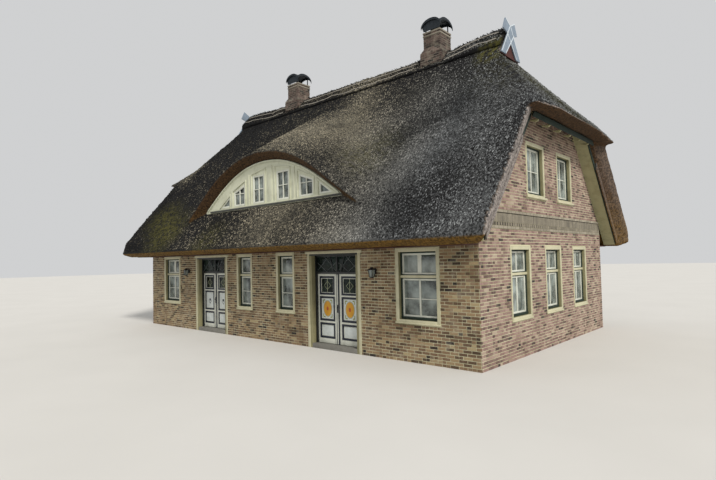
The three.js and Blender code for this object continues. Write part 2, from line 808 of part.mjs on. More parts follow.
// A sheet-metal hood on four legs, vaulted both ways; a plate closes the arch at the front
function chimneyHood(x) {
  const overhang = 60;
  const sheet = 12;
  const foot = chimneyTop + 190;
  const crown = chimneyTop + 415;
  const legInset = 60;
  const legHalf = 15;
  const halfX = chimneyX / 2 + overhang;
  const halfY = chimneyY / 2 + overhang;
  const arch = (half, base, top) => {
    const haunch = (base + top * 2) / 3;
    const shape = new THREE.Shape();
    shape.moveTo(-half, base);
    shape.lineTo(half, base);
    shape.bezierCurveTo(half * 0.9, haunch, half * 0.45, top, 0, top);
    shape.bezierCurveTo(-half * 0.45, top, -half * 0.9, haunch, -half, base);
    return shape;
  };
  // Both barrels, shrunk by some thickness; a drop carries them past their feet and ends
  const vaults = (inset, drop) => {
    const front = arch(halfX - inset, foot - drop, crown - inset);
    const side = arch(halfY - inset, foot - drop, crown - inset);
    const alongY = loft(front, [
      (u, z) => [x + u, halfY + drop, z],
      (u, z) => [x + u, -halfY - drop, z],
    ], 5);
    const alongX = loft(side, [
      (u, z) => [x - halfX - drop, u, z],
      (u, z) => [x + halfX + drop, u, z],
    ], 5);
    return alongY.add(alongX);
  };
  const seat = chimneyTop + joint;
  const shell = vaults(0, 0).subtract(vaults(sheet, past));
  const envelope = vaults(0, 0).add(block(x - halfX, x + halfX, -halfY, halfY, seat, foot + 1));
  const legX = chimneyX / 2 - legInset;
  const legY = chimneyY / 2 - legInset;
  const legs = [[-1, -1], [-1, 1], [1, -1], [1, 1]].map((corner) => {
    const cx = x + corner[0] * legX;
    const cy = corner[1] * legY;
    return block(cx - legHalf, cx + legHalf, cy - legHalf, cy + legHalf, seat, crown).intersect(envelope);
  });
  const plateY = 40 - halfY;
  const plateFoot = chimneyTop + 30;
  const plateHalf = halfX - 80;
  const plateArch = loft(arch(halfX, foot, crown), [
    (u, z) => [x + u, plateY + sheet, z],
    (u, z) => [x + u, plateY, z],
  ], 5);
  const plateSkirt = prismY([
    [x - plateHalf, plateFoot],
    [x + plateHalf, plateFoot],
    [x + halfX - sheet, foot + 1],
    [x - halfX + sheet, foot + 1],
  ], plateY, plateY + sheet);
  const trayX = legX + legHalf;
  const trayY = legY + legHalf;
  const tray = block(x - trayX, x + trayX, -trayY, trayY, seat, chimneyTop + 15);
  return joined([shell, plateArch, plateSkirt, tray, ...legs]);
}

// A lantern on an arm: wall plate, arm, body, lid and cap
function wallLantern(x) {
  const face = -halfDepth - joint;
  const middleY = face - 130;
  const around = (half, z0, z1) =>
    block(x - half, x + half, middleY - half, middleY + half, lanternZ + z0, lanternZ + z1);
  return joined([
    block(x - 45, x + 45, face - 15, face, lanternZ - 60, lanternZ + 90),
    block(x - 12, x + 12, middleY, face - 10, lanternZ + 50, lanternZ + 75),
    around(70, -150, 60),
    around(90, 55, 85),
    around(40, 80, 130),
  ]);
}

floorNodes();
wallNodes();
windowNodes();
doorNodes();
thatchNodes();
addPair("hip_thatch", hipThatch(), thatch);
addNode("ridge_cap", ridgeCap(), reedCap);
addPair("owl_hole_panel", owlHolePanel(), brownBoard);
addPair("crossed_gable_boards", gableBoard(1).add(gableBoard(-1)), palePaint);
addPair("gable_soffit", gableSoffit(), creamPaint);
addNode("front_eaves_soffit", eavesSoffit(), creamPaint);
addNode("back_eaves_soffit", mirrored(eavesSoffit(), false), creamPaint);
addNode("dormer_front", dormerFront(), creamPaint);
addNode("dormer_glazing", dormerGlazing(), darkPaint);
[["left", leftChimneyX], ["right", rightChimneyX]].forEach((chimney) => {
  addNode(chimney[0] + "_chimney", chimneyStack(chimney[1]), brick);
  addNode(chimney[0] + "_chimney_hood", chimneyHood(chimney[1]), darkMetal);
});
addNode("left_wall_lantern", wallLantern(-lanternX), darkMetal);
addNode("right_wall_lantern", wallLantern(lanternX), darkMetal);

export default group;
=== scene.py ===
import math

import bmesh
import bpy
import numpy as np
from mathutils import Matrix, Vector, noise


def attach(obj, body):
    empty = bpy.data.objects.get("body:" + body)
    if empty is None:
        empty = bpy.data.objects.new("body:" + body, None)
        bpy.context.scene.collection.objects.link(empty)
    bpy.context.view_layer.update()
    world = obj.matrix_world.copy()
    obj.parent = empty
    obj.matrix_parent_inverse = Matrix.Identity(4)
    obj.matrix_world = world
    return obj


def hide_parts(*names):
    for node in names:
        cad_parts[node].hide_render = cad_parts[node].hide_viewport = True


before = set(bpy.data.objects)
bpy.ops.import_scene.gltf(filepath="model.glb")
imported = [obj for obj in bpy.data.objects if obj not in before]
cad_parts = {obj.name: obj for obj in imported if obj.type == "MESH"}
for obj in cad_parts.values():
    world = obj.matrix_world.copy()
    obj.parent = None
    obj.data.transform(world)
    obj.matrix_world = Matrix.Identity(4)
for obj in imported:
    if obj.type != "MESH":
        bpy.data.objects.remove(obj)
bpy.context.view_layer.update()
bpy.ops.object.select_all(action="DESELECT")

# Camera: an eye-level view from the front right corner, as in the photograph.
# The turn, pitch and roll were worked out from the walls, the ridge and the window heads.
eye = Vector((12.872, -13.995, 2.506))
turn = math.radians(42.07)
pitch = math.radians(2.204)
roll = math.radians(-1.234)
focal_pixels = 495.953
picture_width = 716
sensor = 36
ahead = Vector((-math.sin(turn) * math.cos(pitch), math.cos(turn) * math.cos(pitch), math.sin(pitch)))
level = Vector((math.cos(turn), math.sin(turn), 0))
above = level.cross(ahead)
across = level * math.cos(roll) + above * math.sin(roll)
upright = above * math.cos(roll) - level * math.sin(roll)
camera_data = bpy.data.cameras.new("camera")
camera_data.sensor_width = sensor
camera_data.lens = focal_pixels * sensor / picture_width
camera_data.clip_end = 300


def add_object(name, data):
    thing = bpy.data.objects.new(name, data)
    bpy.context.scene.collection.objects.link(thing)
    return thing


camera = add_object("camera", camera_data)
camera.matrix_world = Matrix.Translation(eye) @ Matrix((across, upright, -ahead)).transposed().to_4x4()
bpy.context.scene.camera = camera


# Studio: a pale floor, a high soft light from the right, which favours the near gable,
# and an even pale surround.
def linear(colour):
    parts = [int(colour[i:i + 2], 16) / 255 for i in (1, 3, 5)]
    return tuple(c / 12.92 if c <= 0.04045 else ((c + 0.055) / 1.055) ** 2.4 for c in parts) + (1,)


def add_node(beside, kind, settings=None, links=None):
    # Adds a node to the material that the first argument, a socket, belongs to
    tree = beside.id_data
    node = tree.nodes.new("ShaderNode" + kind)
    for key, value in (settings or {}).items():
        if isinstance(key, int) or key in node.inputs:
            node.inputs[key].default_value = value
        else:
            setattr(node, key, value)
    for key, source in (links or {}).items():
        tree.links.new(source, node.inputs[key])
    return node


def new_material(name):
    # The material and the socket of its object coordinates
    material = bpy.data.materials.new(name)
    material.use_nodes = True
    material.node_tree.nodes.clear()
    return material, material.node_tree.nodes.new("ShaderNodeTexCoord").outputs["Object"]


def clouds(at, scale, detail, roughness=0.5):
    settings = {"Scale": scale, "Detail": detail, "Roughness": roughness}
    return add_node(at, "TexNoise", settings, {"Vector": at}).outputs["Fac"]


def stretched(at, scale):
    return add_node(at, "Mapping", {"Scale": scale}, {"Vector": at}).outputs[0]


def ramp(value, low, high, least=0, most=1):
    settings = {"From Min": low, "From Max": high, "To Min": least, "To Max": most}
    return add_node(value, "MapRange", settings, {"Value": value}).outputs[0]


def calculate(operation, first, second):
    return add_node(first, "Math", {"operation": operation}, {0: first, 1: second}).outputs[0]


def attribute(at, name):
    return add_node(at, "Attribute", {"attribute_name": name}).outputs["Fac"]


def blend(share, first, second, mode="MIX"):
    # The colours are hex text or sockets, and the share is a number or a socket
    settings, links = {"blend_type": mode}, {}
    for key, value in (("Fac", share), ("Color1", first), ("Color2", second)):
        if isinstance(value, bpy.types.NodeSocket):
            links[key] = value
        else:
            settings[key] = linear(value) if isinstance(value, str) else value
    return add_node(list(links.values())[0], "MixRGB", settings, links).outputs[0]


def end_material(material, colour, settings, height=None, relief=(), roughness=None):
    # The relief is the strength and distance of a bump, and True where it is turned over
    links = {"Base Color": colour}
    if height is not None:
        bump = dict(zip(("Strength", "Distance", "invert"), relief))
        links["Normal"] = add_node(colour, "Bump", bump, {"Height": height}).outputs[0]
    if roughness is not None:
        links["Roughness"] = roughness
    surface = add_node(colour, "BsdfPrincipled", settings, links)
    add_node(colour, "OutputMaterial", {}, {"Surface": surface.outputs[0]})
    return material


def studio_paint():
    material, at = new_material("studio_floor_paint")
    colour = blend(clouds(at, 0.4, 3), "#c9c7c2", "#d2d0cb")
    return end_material(material, colour, {"Roughness": 0.9})


bpy.ops.mesh.primitive_circle_add(vertices=96, radius=120, fill_type="NGON", location=(0, 0, 0))
floor = bpy.context.object
floor.name = "studio_floor"
floor.data.materials.append(studio_paint())

sun_data = bpy.data.lights.new("key_light", "SUN")
sun_data.energy = 2.9
sun_data.angle = math.radians(12)
sun_data.color = (1.0, 0.965, 0.91)
sun = add_object("key_light", sun_data)
sun.rotation_euler = Vector((-0.95, 0.42, -0.85)).to_track_quat("-Z", "Y").to_euler()
world = bpy.data.worlds.new("studio")
world.use_nodes = True
world.node_tree.nodes["Background"].inputs["Color"].default_value = linear("#e8e9ea")
world.node_tree.nodes["Background"].inputs["Strength"].default_value = 0.78
bpy.context.scene.world = world
bpy.context.scene.view_settings.view_transform = "Standard"


# Brickwork: fired clay bricks of 204 by 59 mm in courses of 75 mm with wide pale lime joints.
# The CAD walls show as the mortar, and each brick is a block that stands 5 mm out of it.
BRICK = 0.204
FIRST_HALF_END = 0.1
SECOND_HALF_START = 0.11
BRICK_HEIGHT = 0.059
JOINT = 0.016
BRICK_PROUD = 0.005
BRICK_SUNK = -0.006
LEAST_CUT = 0.02
draw = np.random.default_rng(11)


def lime_mortar(name, dark, pale, stained):
    # Lime and sand: matt and gritty, with damp or sooty darker patches
    material, at = new_material(name)
    grit = clouds(at, 180, 4)
    patch = ramp(clouds(at, 1.3, 5), 0.45, 0.7)
    colour = blend(patch, blend(grit, dark, pale), stained)
    return end_material(material, colour, {"Roughness": 0.95}, grit, (0.4, 0.002))


def fired_clay(name, stops):
    # Hand-moulded clay: every brick fired to its own brown or pink, with sandy faces and lime bloom
    material, at = new_material(name)
    body = add_node(at, "ValToRGB", {}, {"Fac": attribute(at, "firing")})
    while len(body.color_ramp.elements) < len(stops):
        body.color_ramp.elements.new(0.5)
    for element, (position, colour) in zip(body.color_ramp.elements, stops):
        element.position = position
        element.color = linear(colour)
    sand = clouds(at, 90, 5)
    bloom = ramp(clouds(at, 5, 6), 0.52, 0.78, 0, 0.5)
    speckle = blend(0.55, body.outputs[0], sand, "OVERLAY")
    colour = blend(bloom, speckle, "#a59c8a")
    return end_material(material, colour, {"Roughness": 0.88}, sand, (0.6, 0.003))


mortar = lime_mortar("lime_mortar", "#a8a485", "#dbd6b6", "#8a8463")
sooty_mortar = lime_mortar("sooty_lime_mortar", "#6d675b", "#a29b8b", "#4d483f")
# One brick in two copies: olive on the long walls as painted shade, pink on the gables as painted sunlight
brick = fired_clay("fired_clay_brick", [
    (0.0, "#2a221e"), (0.22, "#493928"), (0.5, "#6f5842"), (0.75, "#8d7658"), (1.0, "#a08f6d")])
sunlit_gable_brick = fired_clay("sunlit_pink_fired_clay_brick", [
    (0.0, "#332a2a"), (0.22, "#5a4641"), (0.5, "#80675f"), (0.75, "#987f75"), (1.0, "#a69584")])
# The first, near-black stop colours the band's strips of painted shade
band_brick = fired_clay("grey_fired_band_brick", [
    (0.0, "#100f0e"), (0.3, "#57534a"), (0.7, "#827b6c"), (1.0, "#a09888")])
sooty_brick = fired_clay("sooty_chimney_brick", [
    (0.0, "#191615"), (0.4, "#382c27"), (0.75, "#57463f"), (1.0, "#74635a")])


def set_material(piece, material):
    piece.data.materials.clear()
    piece.data.materials.append(material)


def own(piece, body, slot, *replaced):
    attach(piece, body)
    if replaced:
        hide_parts(*replaced)
    return piece


def blocks_piece(name, corners, tones):
    # Eight corners a block, counted along, then outwards, then up
    corners = np.array(corners, float).reshape(-1, 8, 3)
    sides = np.array([(0, 1, 3, 2), (4, 6, 7, 5), (0, 4, 5, 1), (2, 3, 7, 6), (0, 2, 6, 4), (1, 5, 7, 3)])
    first = corners[0]
    if np.dot(np.cross(first[4] - first[0], first[2] - first[0]), first[1] - first[0]) < 0:
        sides = sides[:, ::-1]
    faces = (sides[None] + 8 * np.arange(len(corners))[:, None, None]).reshape(-1, 4)
    mesh = bpy.data.meshes.new(name)
    mesh.from_pydata(corners.reshape(-1, 3).tolist(), [], faces.tolist())
    layer = mesh.attributes.new("firing", "FLOAT", "POINT")
    layer.data.foreach_set("value", np.repeat(np.array(tones, float), 8))
    return add_object(name, mesh)


def holes(places, half, bottom, top):
    # Openings of one size in a wall, as their ends along it and in height
    return [(place - half, place + half, bottom, top) for place in places]


def free_spans(low, high, openings, z0, z1):
    # What a course has left between its ends and the openings that it meets
    spans = [(low, high)]
    for a, b, bottom, top in openings:
        if z1 > bottom and z0 < top:
            parts = [part for s, e in spans for part in ((s, min(e, a)), (max(s, b), e))]
            spans = [part for part in parts if part[1] - part[0] > LEAST_CUT]
    return spans


def clamp(value):
    return min(1, max(0, value))


def block(place, along, out, up):
    return [place(x, y, z) for x in along for y in out for z in up]


def lay_bricks(place, ends, openings, bottom, top, corners, tones):
    # Running bond, in which about one brick in five is cut in two and one in ten is burnt dark
    course = 0
    z = bottom
    step = BRICK + JOINT
    while top - z > LEAST_CUT:
        z1 = min(z + BRICK_HEIGHT, top)
        shift = course % 2 * step / 2
        for a, b in free_spans(*ends(z1), openings, z, z1):
            u = math.floor((a - shift) / step) * step + shift
            while u < b:
                cut = draw.random() < 0.22
                halves = ((u, u + FIRST_HALF_END), (u + SECOND_HALF_START, u + BRICK))
                for u0, u1 in halves if cut else ((u, u + BRICK),):
                    u0 = max(u0, a)
                    u1 = min(u1, b)
                    if u1 - u0 < LEAST_CUT:
                        continue
                    out = BRICK_PROUD + draw.normal(0, 0.0012)
                    tip = draw.normal(0, 0.0008)
                    corners.append(block(place, (u0, u1), (BRICK_SUNK, out), (z + tip, z1 + tip)))
                    tones.append(clamp(draw.normal(0.56, 0.18) - (0.34 if draw.random() < 0.1 else 0)))
                u += step
        z += BRICK_HEIGHT + JOINT
        course += 1


def brick_piece(name, corners, tones, clay):
    piece = blocks_piece(name, corners, tones)
    set_material(piece, clay)
    own(piece, "house", "brick")


long_half = 7.6
short_half = 4.25
soffit_z = 2.76
window_bottom = 0.92
window_top = 2.75
wide_x = 5.945
narrow_x = 1.055
inner_back_x = 2.045
door_x = 3.1
doors = (("left", -door_x), ("right", door_x))
half_wide = 0.64
half_narrow = 0.435
half_door = 1.04
half_lintel = 1.095
door_top = 2.63
front_openings = holes((-wide_x, wide_x), half_wide, window_bottom, window_top)
front_openings += holes((-narrow_x, narrow_x), half_narrow, window_bottom, window_top)
front_openings += holes((-door_x, door_x), half_door, 0, door_top)
front_openings += holes((-door_x, door_x), half_lintel, door_top, window_top)
back_places = (-wide_x, -inner_back_x, inner_back_x, wide_x)
back_openings = holes(back_places, half_wide, window_bottom, window_top)
reach = long_half + BRICK_PROUD
for name, side, openings in (("front", -1, front_openings), ("back", 1, back_openings)):
    corners, tones = [], []
    lay_bricks(lambda u, out, z: (u, side * (short_half + out), z), lambda z: (-reach, reach), openings,
               BRICK_PROUD, soffit_z, corners, tones)
    brick_piece(name + "_wall_bricks", corners, tones, brick)

# Gable brickwork: the same bond up to the verge, in bricks tinted pinker as painted sunlight, crossed by a
# grey band of soldier bricks over a dog-tooth course, between two thin string courses.
BAND = 3.155
RIDGE_Z = 9.23
SLOPE = 1.2019
house_ends = (("right", 1), ("left", -1))
lower_ys = (-2.14, 0, 2.14)
upper_ys = (-1.05, 1.05)
band_openings = [(-9, 9, BAND, BAND + 0.445)]
half_gable_window = 0.59
sill_foot, sill_top, upper_top = 4.0, 4.055, 5.48
gable_openings = holes(lower_ys, half_gable_window, window_bottom, window_top)
gable_openings += holes(upper_ys, half_gable_window, sill_top, upper_top)
gable_openings += holes(upper_ys, 0.635, sill_foot, sill_top)


def slope_z(y, below):
    # Height of the roof's outer plane at y, or of a plane that lies so far below it
    return RIDGE_Z - below - SLOPE * y


def slope_y(z, below):
    return (RIDGE_Z - below - z) / SLOPE


def gable_ends(z):
    half = min(short_half + BRICK_PROUD, slope_y(z, 0.715))
    return -half, half


def box_row(place, u0, u1, step, width, z0, z1, out, corners, tones, tone):
    count = int((u1 - u0) / step)
    start = (u0 + u1 - count * step) / 2
    for i in range(count):
        a = start + i * step + (step - width) / 2
        corners.append(block(place, (a, a + width), (BRICK_SUNK, out), (z0, z1)))
        tones.append(clamp(draw.normal(tone, 0.08)))


for name, side in house_ends:
    corners, tones = [], []

    def place(u, out, z):
        return side * (long_half + out), u, z

    lay_bricks(place, gable_ends, gable_openings + band_openings, BRICK_PROUD, 6.47, corners, tones)
    brick_piece(name + "_gable_bricks", corners, tones, sunlit_gable_brick)
    corners, tones = [], []
    low, high = gable_ends(BAND + 0.2)
    for step, width, bottom, top, out, tone in (
            (0.22, 0.205, 0, 0.06, 0.02, 0.8), (0.075, 0.06, 0.155, 0.36, 0.01, 0.62),
            (0.22, 0.205, 0.38, 0.435, 0.03, 0.8)):
        box_row(place, low, high, step, width, BAND + bottom, BAND + top, out, corners, tones, tone)
    tooth = 0.13
    tooth_z = (BAND + 0.068, BAND + 0.148)
    # Near-black strips behind the teeth and under the upper string course: painted shade in the gaps
    for strip in (tooth_z, (BAND + 0.362, BAND + 0.378)):
        corners.append(block(place, (low, high), (-0.004, 0.002), strip))
        tones.append(0)
    for i in range(int((high - low) / tooth)):
        u = low + (i + 0.5) * tooth
        quarter = [(u - 0.03, BRICK_SUNK), (u, -0.04), (u, 0.034), (u + 0.03, BRICK_SUNK)]
        corners.append([place(a, b, h) for a, b in quarter for h in tooth_z])
        tones.append(clamp(draw.normal(0.72, 0.08)))
    brick_piece(name + "_gable_band", corners, tones, band_brick)

for node in ("front_wall_left", "front_wall_middle", "front_wall_right", "front_wall_head", "back_wall",
             "back_wall_head", "right_gable_wall", "left_gable_wall"):
    set_material(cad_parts[node], mortar)


# Floors: stone tiles below and wide pine boards above, both seen only through the glass
def laid(at, width, row, joint, first, second, between, offset):
    settings = {"Scale": 1, "offset": offset, "Brick Width": width, "Row Height": row, "Mortar Size": joint}
    settings.update(Color1=linear(first), Color2=linear(second), Mortar=linear(between))
    return add_node(at, "TexBrick", settings, {"Vector": at})


def floor_tiles():
    material, at = new_material("sandstone_floor_tile")
    tiles = laid(at, 0.4, 0.4, 0.006, "#8f8a80", "#7a756b", "#57534b", 0.0)
    return end_material(material, tiles.outputs["Color"], {"Roughness": 0.5}, tiles.outputs["Fac"],
                        (0.5, 0.002, True))


def pine_boards():
    material, at = new_material("pine_floor_board")
    boards = laid(at, 4, 0.14, 0.003, "#a5845a", "#8e6d45", "#3f2f1d", 0.5)
    grain = clouds(stretched(at, (2, 40, 40)), 2, 5)
    return end_material(material, blend(0.4, boards.outputs["Color"], grain, "OVERLAY"), {"Roughness": 0.6})


set_material(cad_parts["ground_floor"], floor_tiles())
set_material(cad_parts["upper_floor"], pine_boards())


# Windows: a cream architrave round a khaki reveal, with a dark subframe and white sashes.
# Softwood, planed and brush-painted; the glass is puttied in and stands 140 mm behind the wall face.
def worn_surface(name, base, worn, roughness, grain_axis=2):
    # Faint grain, dirt in patches and dull spots: for brush-painted softwood, and also for stone,
    # lead, iron and hazel
    material, at = new_material(name)
    scale = [55, 55, 55]
    scale[grain_axis] = 3
    grain = clouds(stretched(at, scale), 2, 4)
    dirt = clouds(at, 4, 8, 0.65)
    film = blend(0.16, base, grain, "OVERLAY")
    colour = blend(ramp(dirt, 0.48, 0.75, 0, 0.6), film, worn)
    return end_material(material, colour, {}, grain, (0.25, 0.001),
                        ramp(dirt, 0, 1, roughness, roughness + 0.25))


def drawn_glass(name, dark, pale, cover, mirror):
    # Drawn sheet glass: nearly flat, so what it mirrors bends a little; half see-through, with pale patches
    # in its colour that are dust and painted sky reflection
    material, at = new_material(name)
    bloom = ramp(clouds(at, 2.6, 8), 0.36, 0.64)
    settings = {"Roughness": 0.05, "IOR": 1.52, "Alpha": cover, "Specular IOR Level": mirror}
    return end_material(material, blend(bloom, dark, pale), settings, clouds(at, 3, 2), (0.06, 0.01))


cream = worn_surface("cream_gloss_paint", "#bfbb9d", "#9a9577", 0.38)
khaki = worn_surface("khaki_gloss_paint", "#8a8563", "#6a6549", 0.42)
white = worn_surface("white_gloss_paint", "#d0d2c6", "#a9ab9a", 0.34)
dark_green = worn_surface("dark_green_gloss_paint", "#14271d", "#0f1a14", 0.62)
glass = drawn_glass("drawn_window_glass", "#2b3532", "#a3ada8", 0.78, 0.8)


def make_active(piece):
    bpy.ops.object.select_all(action="DESELECT")
    bpy.context.view_layer.objects.active = piece
    piece.select_set(True)


def edit(piece):
    make_active(piece)
    bpy.ops.object.mode_set(mode="EDIT")


def start_piece(name, *materials):
    piece = add_object(name, bpy.data.meshes.new(name))
    for material in materials:
        piece.data.materials.append(material)
    edit(piece)
    return piece


def shape_new(slot_index, place):
    # Moves and paints the primitive that was just added, which is still selected
    mesh = bmesh.from_edit_mesh(bpy.context.object.data)
    for vertex in mesh.verts:
        if vertex.select:
            vertex.co = place(vertex.co)
    for face in mesh.faces:
        if face.select:
            face.material_index = slot_index
    bmesh.update_edit_mesh(bpy.context.object.data)


def timber(slot_index, place):
    # One cube primitive whose eight corners go where place(u, v, w) says, each of them 0 or 1
    bpy.ops.mesh.primitive_cube_add(size=2, location=(0, 0, 0))
    shape_new(slot_index, lambda corner: place(*(0 if c < 0 else 1 for c in corner)))


def bar(slot_index, x0, x1, y0, y1, z0, z1):
    timber(slot_index, lambda u, v, w: ((x0, x1)[u], (y0, y1)[v], (z0, z1)[w]))


def mid_bar(slot_index, x, half, y0, y1, z0, z1):
    bar(slot_index, x - half, x + half, y0, y1, z0, z1)


def slanted(slot_index, start, end, width, y0, y1):
    # A straight bar between two points (x, z), cut square at its ends
    direction = Vector((end[0] - start[0], end[1] - start[1])).normalized()
    normal = Vector((-direction.y, direction.x)) * width / 2
    ends = (Vector(start), Vector(end))

    def place(u, v, w):
        point = ends[u] + normal * (-1, 1)[w]
        return point.x, (y0, y1)[v], point.y

    timber(slot_index, place)


def ring(slot_index, x0, x1, y0, y1, z0, z1, width, level_width=None):
    # A frame of four bars; the level ones may have their own width
    rail = level_width or width
    bar(slot_index, x0, x0 + width, y0, y1, z0, z1)
    bar(slot_index, x1 - width, x1, y0, y1, z0, z1)
    bar(slot_index, x0 + width, x1 - width, y0, y1, z0, z0 + rail)
    bar(slot_index, x0 + width, x1 - width, y0, y1, z1 - rail, z1)


def smooth(degrees):
    bpy.ops.object.shade_smooth_by_angle(angle=math.radians(degrees))


def round_edges(piece, width):
    rounding = piece.modifiers.new("edges", "BEVEL")
    rounding.width = width
    rounding.segments = 2
    rounding.limit_method = "ANGLE"
    bpy.ops.object.modifier_apply(modifier=rounding.name)


def turn_outwards():
    bpy.ops.mesh.select_all(action="SELECT")
    bpy.ops.mesh.normals_make_consistent(inside=False)
    bpy.ops.object.mode_set(mode="OBJECT")


def end_piece(piece, rounding):
    turn_outwards()
    if rounding:
        round_edges(piece, rounding)
    smooth(35)
    piece.select_set(False)
    return piece


def window_master(name, width, height, columns, lower_bar, sill, face, post):
    # The material slots in the order below; post is the middle bar's half width in the upper light
    CREAM, KHAKI, GREEN, WHITE, PANE = range(5)
    piece = start_piece(name, cream, khaki, dark_green, white, glass)
    board = 0.095
    half = width / 2
    inner = half - face
    low = board
    high = height - board
    transom = height * 0.62
    ring(CREAM, -half, half, -0.010, 0.012, 0, height, face, board)
    ring(CREAM, -half, half, -0.014, -0.010, 0, height, 0.022)
    ring(KHAKI, -half + 0.001, half - 0.001, 0.012, 0.175, 0.001, height - 0.001, face - 0.003, 0.092)
    ring(GREEN, -inner + 0.001, inner - 0.001, 0.085, 0.17, low + 0.001, high - 0.001, 0.036)
    mid_bar(GREEN, 0, inner, 0.075, 0.16, low, low + 0.06)
    edge = inner - 0.036
    lights = [(low + 0.062, high - 0.036, lower_bar, 0.017)]
    if not sill:
        mid_bar(CREAM, 0, inner, 0.07, 0.165, transom - 0.032, transom + 0.032)
        mid_bar(GREEN, 0, inner, 0.09, 0.16, transom - 0.05, transom + 0.05)
        lights = [(transom + 0.05, high - 0.036, None, post), (low + 0.062, transom - 0.05, lower_bar, 0.024)]
    for z0, z1, cross, bar_half in lights:
        ring(WHITE, -edge, edge, 0.115, 0.155, z0, z1, 0.045)
        for i in range(1, columns):
            mid_bar(WHITE, -edge + 2 * edge * i / columns, bar_half, 0.118, 0.152, z0 + 0.04, z1 - 0.04)
        if cross:
            mid_bar(WHITE, 0, edge - 0.04, 0.122, 0.148, height * cross - 0.011, height * cross + 0.011)
        mid_bar(PANE, 0, edge - 0.04, 0.138, 0.143, z0 + 0.04, z1 - 0.04)
    if sill:
        mid_bar(CREAM, 0, half + 0.045, -0.06, 0, -0.008, 0.045)
    else:
        mid_bar(CREAM, 0, half + 0.012, -0.035, 0, 0, 0.035)
    return end_piece(piece, 0.0025)


window_height = window_top - window_bottom
upper_bottom = 4.01
wide_window = window_master("wide_window", 1.28, window_height, 2, 0.325, False, 0.09, 0.055)
narrow_window = window_master("narrow_window", 0.87, window_height, 1, 0.325, False, 0.085, 0)
gable_window = window_master("gable_window", 1.18, window_height, 2, None, False, 0.07, 0.017)
upper_window = window_master("upper_window", 1.18, 1.47, 2, 0.5, True, 0.07, 0)
front_windows = (("far_left", wide_window, -wide_x), ("left", narrow_window, -narrow_x),
                 ("right", narrow_window, narrow_x), ("far_right", wide_window, wide_x))
places = [("front_window_" + name, master, 0, x, -short_half, window_bottom)
          for name, master, x in front_windows]
places += [(f"back_window_{i + 1}", wide_window, math.pi, x, short_half, window_bottom)
           for i, x in enumerate(back_places)]
for side, sign in house_ends:
    for row, master, ys, z in (("gable", gable_window, lower_ys, window_bottom),
                               ("upper", upper_window, upper_ys, upper_bottom)):
        places += [(f"{side}_{row}_window_{i + 1}", master, sign * math.pi / 2, sign * long_half, y, z)
                   for i, y in enumerate(ys)]
for node, master, turn_angle, x, y, z in places:
    piece = add_object(node + "_joinery", master.data.copy())
    piece.data.transform(Matrix.Translation((x, y, z)) @ Matrix.Rotation(turn_angle, 4, "Z"))
    own(piece, "house", "window_paint", node)
for master in (wide_window, narrow_window, gable_window, upper_window):
    bpy.data.objects.remove(master)


# Net curtains: white cotton net gathered on a wire across the lower lights, drawn aside behind
# the upper gable windows.
def cotton_net():
    # Fine woven cotton; a 1 mm mesh is too fine to show, so it is drawn 6 mm wide
    material, at = new_material("white_cotton_net")
    warp, weft = (add_node(at, "TexWave", {"Scale": 52, "bands_direction": axis}, {"Vector": at})
                  for axis in ("X", "Z"))
    weave = calculate("MULTIPLY", warp.outputs["Fac"], weft.outputs["Fac"])
    return end_material(material, blend(weave, "#e2e4df", "#f2f2ee"),
                        {"Roughness": 0.95, "Sheen Weight": 0.3})


net = cotton_net()
CURTAIN_DEPTH = 0.215


def net_curtain(name, place, left, right, bottom, top):
    # A grid whose columns run in soft folds; its flat width is the length of the folded line
    fold, wave = 0.016, 0.11
    columns = int((right - left) / 0.012)
    bpy.ops.mesh.primitive_grid_add(x_subdivisions=columns, y_subdivisions=8, size=1, location=(0, 0, 0))
    piece = bpy.context.object
    piece.name = name
    line = []
    for i in range(columns + 1):
        x = left + (right - left) * i / columns
        swing = fold * math.sin(x / wave * 2 * math.pi) * (0.8 + 0.2 * math.sin(7 * x))
        line.append((x, CURTAIN_DEPTH + swing))
    for vertex in piece.data.vertices:
        x, depth = line[round((vertex.co.x + 0.5) * columns)]
        vertex.co = place(x, depth, bottom + (top - bottom) * (vertex.co.y + 0.5))
    set_material(piece, net)
    bpy.ops.object.shade_smooth()
    piece.select_set(False)
    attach(piece, "house")


for name, x, half, top in (("far_left", -wide_x, 0.49, 1.6), ("left", -narrow_x, 0.29, 2.02),
                           ("right", narrow_x, 0.29, 2.02), ("far_right", wide_x, 0.49, 1.6)):
    net_curtain(f"front_curtain_{name}",
                lambda along, depth, z: (x + along, -short_half + depth, z), -half, half, 1.06, top)
for side, sign in house_ends:
    for row, ys, left, right, bottom, top in (("upper", upper_ys, -0.42, -0.14, 4.16, 5.36),
                                              ("gable", lower_ys, -0.45, 0.45, 1.06, 1.95)):
        for i, y in enumerate(ys):
            net_curtain(f"{side}_{row}_curtain_{i + 1}",
                        lambda along, depth, z: (sign * (long_half - depth), y + along, z),
                        left, right, bottom, top)

